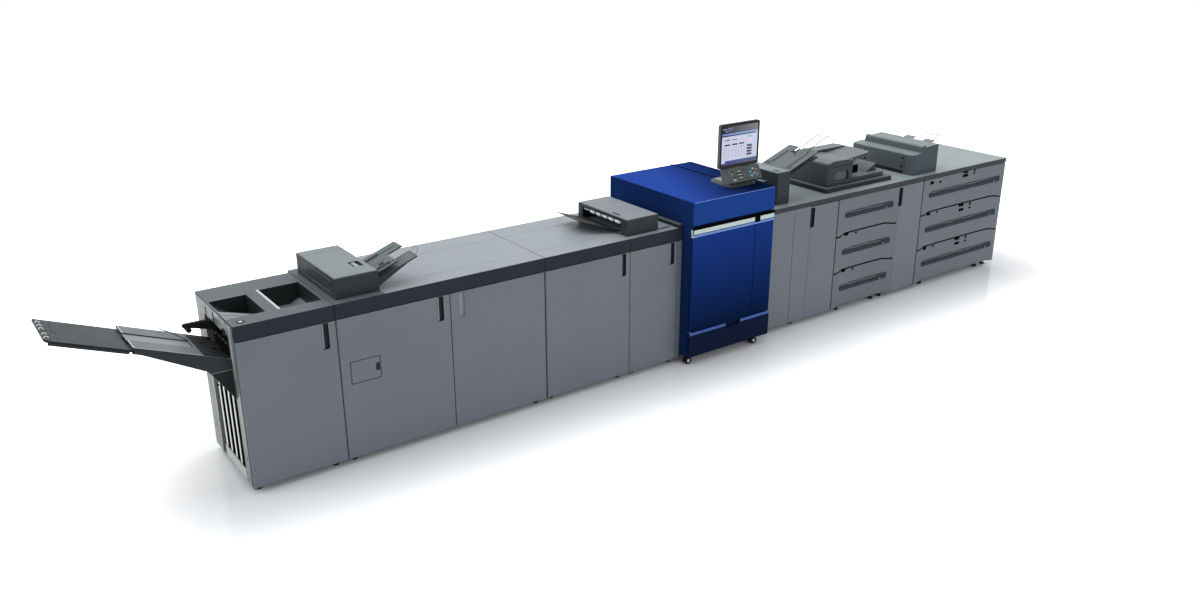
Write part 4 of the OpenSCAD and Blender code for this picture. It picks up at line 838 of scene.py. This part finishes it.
# The base is painted paler on top, darker on its upright faces and lighter again on its ends, as painted
# light and shade
panel_plastic = facing_light_paint("panel_plastic", panel_top, panel_side, 0.42, 0.2, end=panel_end)
dress(["panel_base"], panel_plastic)
console_face = plain_paint("console_face", console_tone, 0.4, gloss=0.2)
console_left = extent("panel_base").left
console_foot = Vector((14, 1289))
console_head = Vector((59, 1383))


def on_console(u, v, n):
    """The point u mm right of the console's left side, v mm up its sloping face and n mm off it."""
    run = (console_head - console_foot).normalized()
    spot = console_foot + run * v
    return at(console_left + u, spot.x - run.y * n, spot.y + run.x * n)


slabs("console_plate", [(rounded(6, 336, 3, 101, 5), -0.4, 0.5)], on_console, console_face,
      "slate_cover")
keys = {
    "pale": [(58, 66, 60, 72), (64, 72, 18, 30), (74, 90, 12, 24), (118, 150, 74, 80), (120, 152, 50, 56),
             (124, 156, 28, 33), (296, 308, 66, 74), (306, 314, 40, 48), (296, 306, 24, 34)],
    "dark": [(62, 78, 72, 84), (74, 90, 30, 44), (112, 160, 60, 70), (116, 164, 37, 46),
             (178, 190, 74, 86), (196, 206, 60, 70), (214, 226, 52, 62)],
    "dim": [(172 + 18 * k, 182 + 18 * k, 30 + 16 * row, 37 + 16 * row)
            for k in range(4) for row in range(3)]
           + [(36, 46, 78, 88), (88, 100, 80, 86), (292, 306, 84, 90)],
    "amber": [(262, 280, 74, 88)],
    "cyan": [(232, 252, 52, 70), (238, 262, 20, 42)],
    "rose": [(272, 286, 38, 52)],
}
for tone, outlines in keys.items():
    slabs(f"{tone}_keys", [(rounded(u0, u1, v0, v1, min(u1 - u0, v1 - v0) * 0.42, 4), 0.4, 2.4)
                           for u0, u1, v0, v1 in outlines],
          on_console, plain_paint(f"{tone}_key", key_tones[tone], 0.4), "light_strip", edge=0.0006)

# The screen: a black bezel and a lit page of plain bars, built up in thin layers
shell_top = (0.050, 0.058, 0.062, 1)
shell_tone = (0.100, 0.115, 0.115, 1)
# The shell is painted darker on top than on its upright faces, as painted light and shade
screen_shell = facing_light_paint("screen_shell", shell_top, shell_tone, 0.42, 0.2)
dress(["screen"], screen_shell)
display = extent("screen")
page_lift = 16
layer_step = 0.4
bezel = plain_paint("screen_bezel", screen_black, 0.3, gloss=0.2)


def lit(name, color, far, glow):
    """A softly lit display colour, shading to a second one at its right, with a faint grain."""
    paint, tree, shader = new_paint(name)
    passed = use(tree, drift, From=color, To=far)
    layer = use(tree, coat, Color=passed, Mottle=0.03, Roughness=0.25, Grain_size=0.001)
    feed(tree, shader, Base_Color=layer.outputs["Color"], Emission_Color=layer.outputs["Color"],
         Roughness=layer.outputs["Roughness"], Specular_IOR_Level=0.1, Emission_Strength=glow)
    return paint


def screen_part(u0, u1, v0, v1, layer):
    """A box of the page, u from the screen's left and v from its foot in mm; layer 1 is at the back."""
    face = display.front - 0.5 - layer_step * layer
    foot = display.foot + page_lift
    return span(display.left + u0, display.left + u1, face, face + 0.6, foot + v0, foot + v1)


bezel_outline = rounded(display.left + 1, display.right - 1, display.foot + 1, display.head - 1, 17)
prisms("screen_front", [(bezel_outline, display.front - 0.4, display.front + 0.2)], bezel,
       "black_plastic", "screen")

# The page's parts: their colour at the left and at the right, their glow, and their boxes
lilac = (0.50, 0.51, 0.63, 1)
columns = (0, 18, 40, 78, 104, 118, 140, 168, 196)
page = {
    "page_body": (lilac, lilac, 0.4, [(17, 364, 24, 288, 1)]),
    "page_head": ((0.012, 0.012, 0.035, 1), (0.20, 0.20, 0.21, 1), 0.3, [(17, 364, 238, 288, 2)]),
    "page_dashes": ((0.40, 0.40, 0.55, 1), (0.20, 0.20, 0.25, 1), 0.3,
                    [(24, 62, 268, 273, 3), (68, 122, 272, 277, 3), (44, 74, 252, 257, 3),
                     (80, 112, 256, 261, 3)]),
    "page_band": ((0.17, 0.22, 0.50, 1), (0.25, 0.42, 0.62, 1), 0.35, [(17, 352, 226, 238, 2)]),
    "page_line": ((0.012, 0.012, 0.04, 1), (0.10, 0.14, 0.22, 1), 0.2, [(17, 352, 217, 226, 2)]),
    "page_pills": ((0.005, 0.005, 0.012, 1), (0.02, 0.02, 0.04, 1), 0.0,
                   [(42, 96, 150, 160, 2), (116, 168, 150, 160, 2), (184, 232, 150, 160, 2)]),
    "page_text": ((0.10, 0.10, 0.16, 1), (0.14, 0.14, 0.20, 1), 0.1,
                  [(42, 98, 186, 192, 2), (114, 166, 186, 192, 2), (44, 92, 198, 200, 2)]),
    "page_table": ((0.30, 0.31, 0.38, 1), (0.28, 0.28, 0.36, 1), 0.3,
                   [(40 + step, 42.5 + step, 62, 132, 2) for step in columns]
                   + [(40, 236, 134, 136, 2), (80, 146, 112, 114, 2)]),
    "page_buttons": ((0.07, 0.06, 0.13, 1), (0.09, 0.08, 0.15, 1), 0.15,
                     [(262, 312, 60 + 21 * k, 75 + 21 * k, 2) for k in range(4)]),
    "page_rose": ((0.60, 0.48, 0.66, 1), (0.66, 0.50, 0.70, 1), 0.4, [(262, 312, 160, 178, 2)]),
    "page_teal": ((0.16, 0.40, 0.44, 1), (0.16, 0.40, 0.44, 1), 0.4, [(264, 308, 194, 202, 2)]),
    "page_foot": ((0.04, 0.07, 0.30, 1), (0.06, 0.14, 0.20, 1), 0.3, [(52, 364, 24, 40, 2)]),
    "page_edge": ((0.06, 0.05, 0.14, 1), (0.12, 0.11, 0.18, 1), 0.3, [(17, 364, 8, 24, 2)]),
}
for name, (tone, far, glow, parts) in page.items():
    blocks(name, [screen_part(*part) for part in parts], lit(name, tone, far, glow), "light_strip",
           "screen")

# ---- Upright inserter ----
# A tall narrow moulded feeder beside the engine, with two sloping trays. Wire
# stops lie in the upper tray, and dark slots show its feed fingers.

upright_lay = sheet_lay(extent("upright_trays").left, 1272, sheet_slope)
wire_grey_and_shade = plain_paint("wire_grey_and_shade", (0.030, 0.036, 0.044, 1), 0.45, gloss=0.1)
finger_pitch = 17
vent_pitch = 26
slabs("upright_slots", [(oblong(16, 66, y + finger_pitch * k, y + 9 + finger_pitch * k), -4.9, -4.4)
                        for k in range(3) for y in (108, 329)]
      + [(rounded(150, 158, 224, 232, 3.9), 0, 0.5)], upright_lay, black_plastic, "black_plastic")
blocks("upright_vents", [span(4210 + vent_pitch * k, 4222 + vent_pitch * k, y - 34, y + 34, 1267, 1267.8)
                         for k in (0, 1) for y in (134, 418)], black_plastic, "black_plastic")
wires("upright_wires", [
    [at(4500, 225, 1345), at(4527, 225, 1376), at(4776, 225, 1483), at(4790, 222, 1462)],
    [at(4560, 150, 1366), at(4617, 150, 1402), at(4792, 150, 1473), at(4806, 152, 1452)],
], 3.2, wire_grey_and_shade, "zinc", bend=8)

# ---- Feeder cabinets and drawers ----
# Paper feeders with three deep drawers each. Pressed steel drawer fronts part
# along S curves, with a dished face, black handle pockets and small windows.

drawer_tone = (0.130, 0.148, 0.170, 1)
drawers_foot = extent("feeder_1_housing").foot
drawer_pitch = (extent("feeder_1_housing").head - drawers_foot) / 3
drawer_gap = 3

drawer_coat, tree, shader = new_paint("drawer_coat")
finish_coat(tree, shader, drawer_tone, mottle=0.05, roughness=0.36, grain_size=0.0014,
            grain_depth=0.0001, radius=0.0025, edge_highlight_gain=1.6)
dress(["drawer_runners"], zinc_grey_and_highlight)
pod_grey = plain_paint("pod_grey", (0.110, 0.124, 0.136, 1), 0.45, gloss=0.1)
bar_grey = plain_paint("bar_grey", (0.035, 0.042, 0.052, 1), 0.42, gloss=0.1)
pod_highlight_paint = plain_paint("painted_pod_highlight", (0.30, 0.33, 0.34, 1), 0.25)
# Windows of the lower drawers and of the wide top drawer: their sides along the line,
# and their foot and head from the line where the fronts part
panes = {1: [(4913, 4964, -6, 14), (5044, 5070, -8, 8)],
         2: [(5962, 6012, -14, 10), (6092, 6118, -10, 7), (6416, 6488, -10, 14),
             (6424, 6492, -54, -29), (6567, 6594, -16, 8), (6567, 6592, -49, -30)]}
top_panes = {1: [], 2: [(5962, 6012, -51, -23), (6092, 6118, -56, -35), (6424, 6496, -22, -3),
                        (6424, 6498, -56, -30), (6574, 6600, -22, -4), (6574, 6598, -46, -28)]}
# Runs along the pockets that carry painted highlights and painted shade
pod_light_runs = {1: [(5030, 5130), (5221, 5380)], 2: [(6034, 6091), (6251, 6384), (6510, 6672)]}
pod_h = 58
pod_drop = 170
edge_stations = 60


def capsule(x0, x1, z0, z1, steps=12):
    """Outline of a bar with round ends, in millimetres."""
    return rounded(x0, x1, z0, z1, (z1 - z0) / 2 - 0.01, steps)


def drawer_lay(left, right):
    """A lay on the dished drawer fronts of a cabinet: x along the line, z up, n mm off the face."""
    def lay(x, z, n):
        t = min(max((x - left - 77) / (right - left - 106), 0), 1)
        return at(x, 28 * t * (1 - t) - n, z)
    return lay


def edge_rise(x, left, right):
    """How far the S curve stands above its ends: a short rise at the left, a long fall at the right."""
    t = min(max((x - left - 33) / 70, 0), 1) - min(max((x - right + 163) / 146, 0), 1)
    return 22 * t * t * (3 - 2 * t)


for feeder in (1, 2):
    left = extent(f"drawer_{feeder}_top").left - drawer_gap
    right = extent(f"drawer_{feeder}_top").right + drawer_gap
    face = drawer_lay(left, right)
    for index, place in enumerate(("top", "middle", "bottom")):
        body = f"drawer_{feeder}_{place}"
        parting = drawers_foot + (3 - index) * drawer_pitch
        dress([body], drawer_coat)
        pod_low = parting - pod_drop
        x0, x1 = left + 80, right - 62
        pod = capsule(x0 + 0.5, x1 - 0.5, pod_low + 0.5, pod_low + pod_h - 0.5)
        prisms(f"{body}_pod", [(pod, 12.2, 12.9)], pod_grey, "black_plastic", body)
        bar = capsule(x0 + 3.6, x1 - 3.6, pod_low + 3.6, pod_low + 30.4)
        prisms(f"{body}_bar", [(bar, -3.4, 12.5)], bar_grey, "black_plastic", body, edge=0.0015)
        # Pale runs in each pocket are painted highlights, and dark runs above them painted shade
        highlight_runs = [capsule(*run, pod_low + 36, pod_low + 41) for run in pod_light_runs[feeder]]
        prisms(f"{body}_highlights", [(run, 11.9, 12.3) for run in highlight_runs], pod_highlight_paint,
               "grey_cover", body)
        shade_runs = [capsule(*run, pod_low + 42, pod_low + 51)
                     for run in pod_light_runs[feeder] + [(x1 - 130, x1 - 12)]]
        prisms(f"{body}_shades", [(run, 11.9, 12.3) for run in shade_runs], wire_grey_and_shade,
               "slate_cover", body)
        dot = at(x1 - 90, -3.3, pod_low + 16)
        rods(f"{body}_dot", [(dot, dot - Vector((0, 0.0008, 0)), 4)], lamp_dot, "light_strip", body,
             around=20)
        windows = (panes if index else top_panes)[feeder]
        if windows:
            glazing = [rounded(w0, w1, parting + low, parting + high, 3) for w0, w1, low, high in windows]
            slabs(f"{body}_windows", [(pane, -0.6, 0.6) for pane in glazing], face, black_and_painted_shade,
                  "black_plastic", body)
        # A black ribbon fills the S-shaped gap over each lower drawer as painted shade in the gap
        if index:
            stations = [left + 3.5 + (right - left - 7) * k / edge_stations
                        for k in range(edge_stations + 1)]
            rings = []
            for x in stations:
                top = parting - 3 + edge_rise(x, left, right)
                near = face(x, 0, 0).y + 0.0003
                rings.append([Vector((at(x, 0, 0).x, y, z / 1000)) for y, z in (
                    (near - 0.0005, top - 7), (near - 0.0005, top + 1), (near + 0.008, top + 1),
                    (near + 0.008, top - 7))])
            loft(f"{body}_edge", [rings], black_and_painted_shade, "black_plastic", body)

# ---- Countertops and document feeder ----
# Laminated steel tops cover both feeders and carry the add-on devices. The
# document feeder is a moulded lid over the scanner's glass.

counter_top = (0.200, 0.235, 0.243, 1)
counter_top_sheen = (0.265, 0.308, 0.318, 1)
counter_edge = (0.020, 0.026, 0.029, 1)
lid_top_tone = (0.112, 0.134, 0.134, 1)
lid_side = (0.036, 0.045, 0.050, 1)
lid_end = (0.050, 0.065, 0.070, 1)
platen_top = (0.110, 0.130, 0.132, 1)
platen_side = (0.024, 0.030, 0.034, 1)
long_top = (0.172, 0.205, 0.207, 1)
long_side = (0.055, 0.071, 0.080, 1)
long_end = (0.075, 0.092, 0.100, 1)

# Countertops: paler tops and dark edges are painted light and shade, and the tops are painted paler
# towards the right as a painted sheen
dress(["countertops"], facing_light_paint("counter_coat", counter_top, counter_edge, 0.42, 0.34, mottle=0.03,
                                      drifts=[("Top", counter_top_sheen, (1, 0, 0))]))
# The lid, platen and long inserter are painted paler where they face up, darker on upright faces and in a
# third tone on their ends, as painted light and shade
dress(["document_feeder"], facing_light_paint("lid_plastic", lid_top_tone, lid_side, 0.38, 0.2, end=lid_end))
dress(["platen_base"], facing_light_paint("platen_plastic", platen_top, platen_side, 0.4, 0.15))
dress(["long_inserter"], facing_light_paint("long_device_plastic", long_top, long_side, 0.4, 0.2,
                                        end=long_end))
hand_panel = plain_paint("hand_panel", (0.115, 0.130, 0.126, 1), 0.5, gloss=0.1)
prisms("lid_hand_panel", [(rounded(4900, 5050, 1092, 1160, 24), 150, 151)], hand_panel, "grey_cover",
       "document_feeder")
lid = extent("document_feeder")
# Two dark joints of the lid, and a black plate on the front face of its rear cover below the input tray as
# a painted shadow
blocks("lid_joints_and_shadow", [span(lid.left + 1, 5097, lid.front - 0.3, lid.front + 0.3, 1211, 1213),
                     span(5152, 5236, 196, 198, 1108, 1176),
                     span(5112, 5348, 497.2, 498.2, 1237, lid.head - 2)], black_and_painted_shade, "black_plastic",
       "document_feeder")
device = extent("long_inserter")
marks = ((586, 1154), (183, 1156), (185, 1081), (586, 1081))
rods("long_inserter_marks", [(at(device.left + 0.6, y, z), at(device.left - 0.8, y, z), 10)
                             for y, z in marks], black_and_painted_shade, "black_plastic", around=20)
blocks("long_inserter_joints", [span(device.left - 0.6, device.left + 0.4, y, y + 3, 1050, 1174)
                                for y in (150, 636)], wire_grey_and_shade, "slate_cover")
blocks("long_inserter_foot", [span(device.left - 0.4, device.left + 11, 164, 628, device.foot + 1,
                                   device.foot + 29)], black_plastic, "black_plastic")
wires("long_inserter_stops", [
    [at(6140, 300, 1252), at(6225, 297, 1302), at(6235, 157, 1302), at(6145, 174, 1252)],
], 3, wire_grey_and_shade, "zinc", bend=9)

# ---- Feet ----
# Black levelling feet and casters carry the units a hand's breadth above the floor.

dress(["feet", "feeder_casters"], rubber)
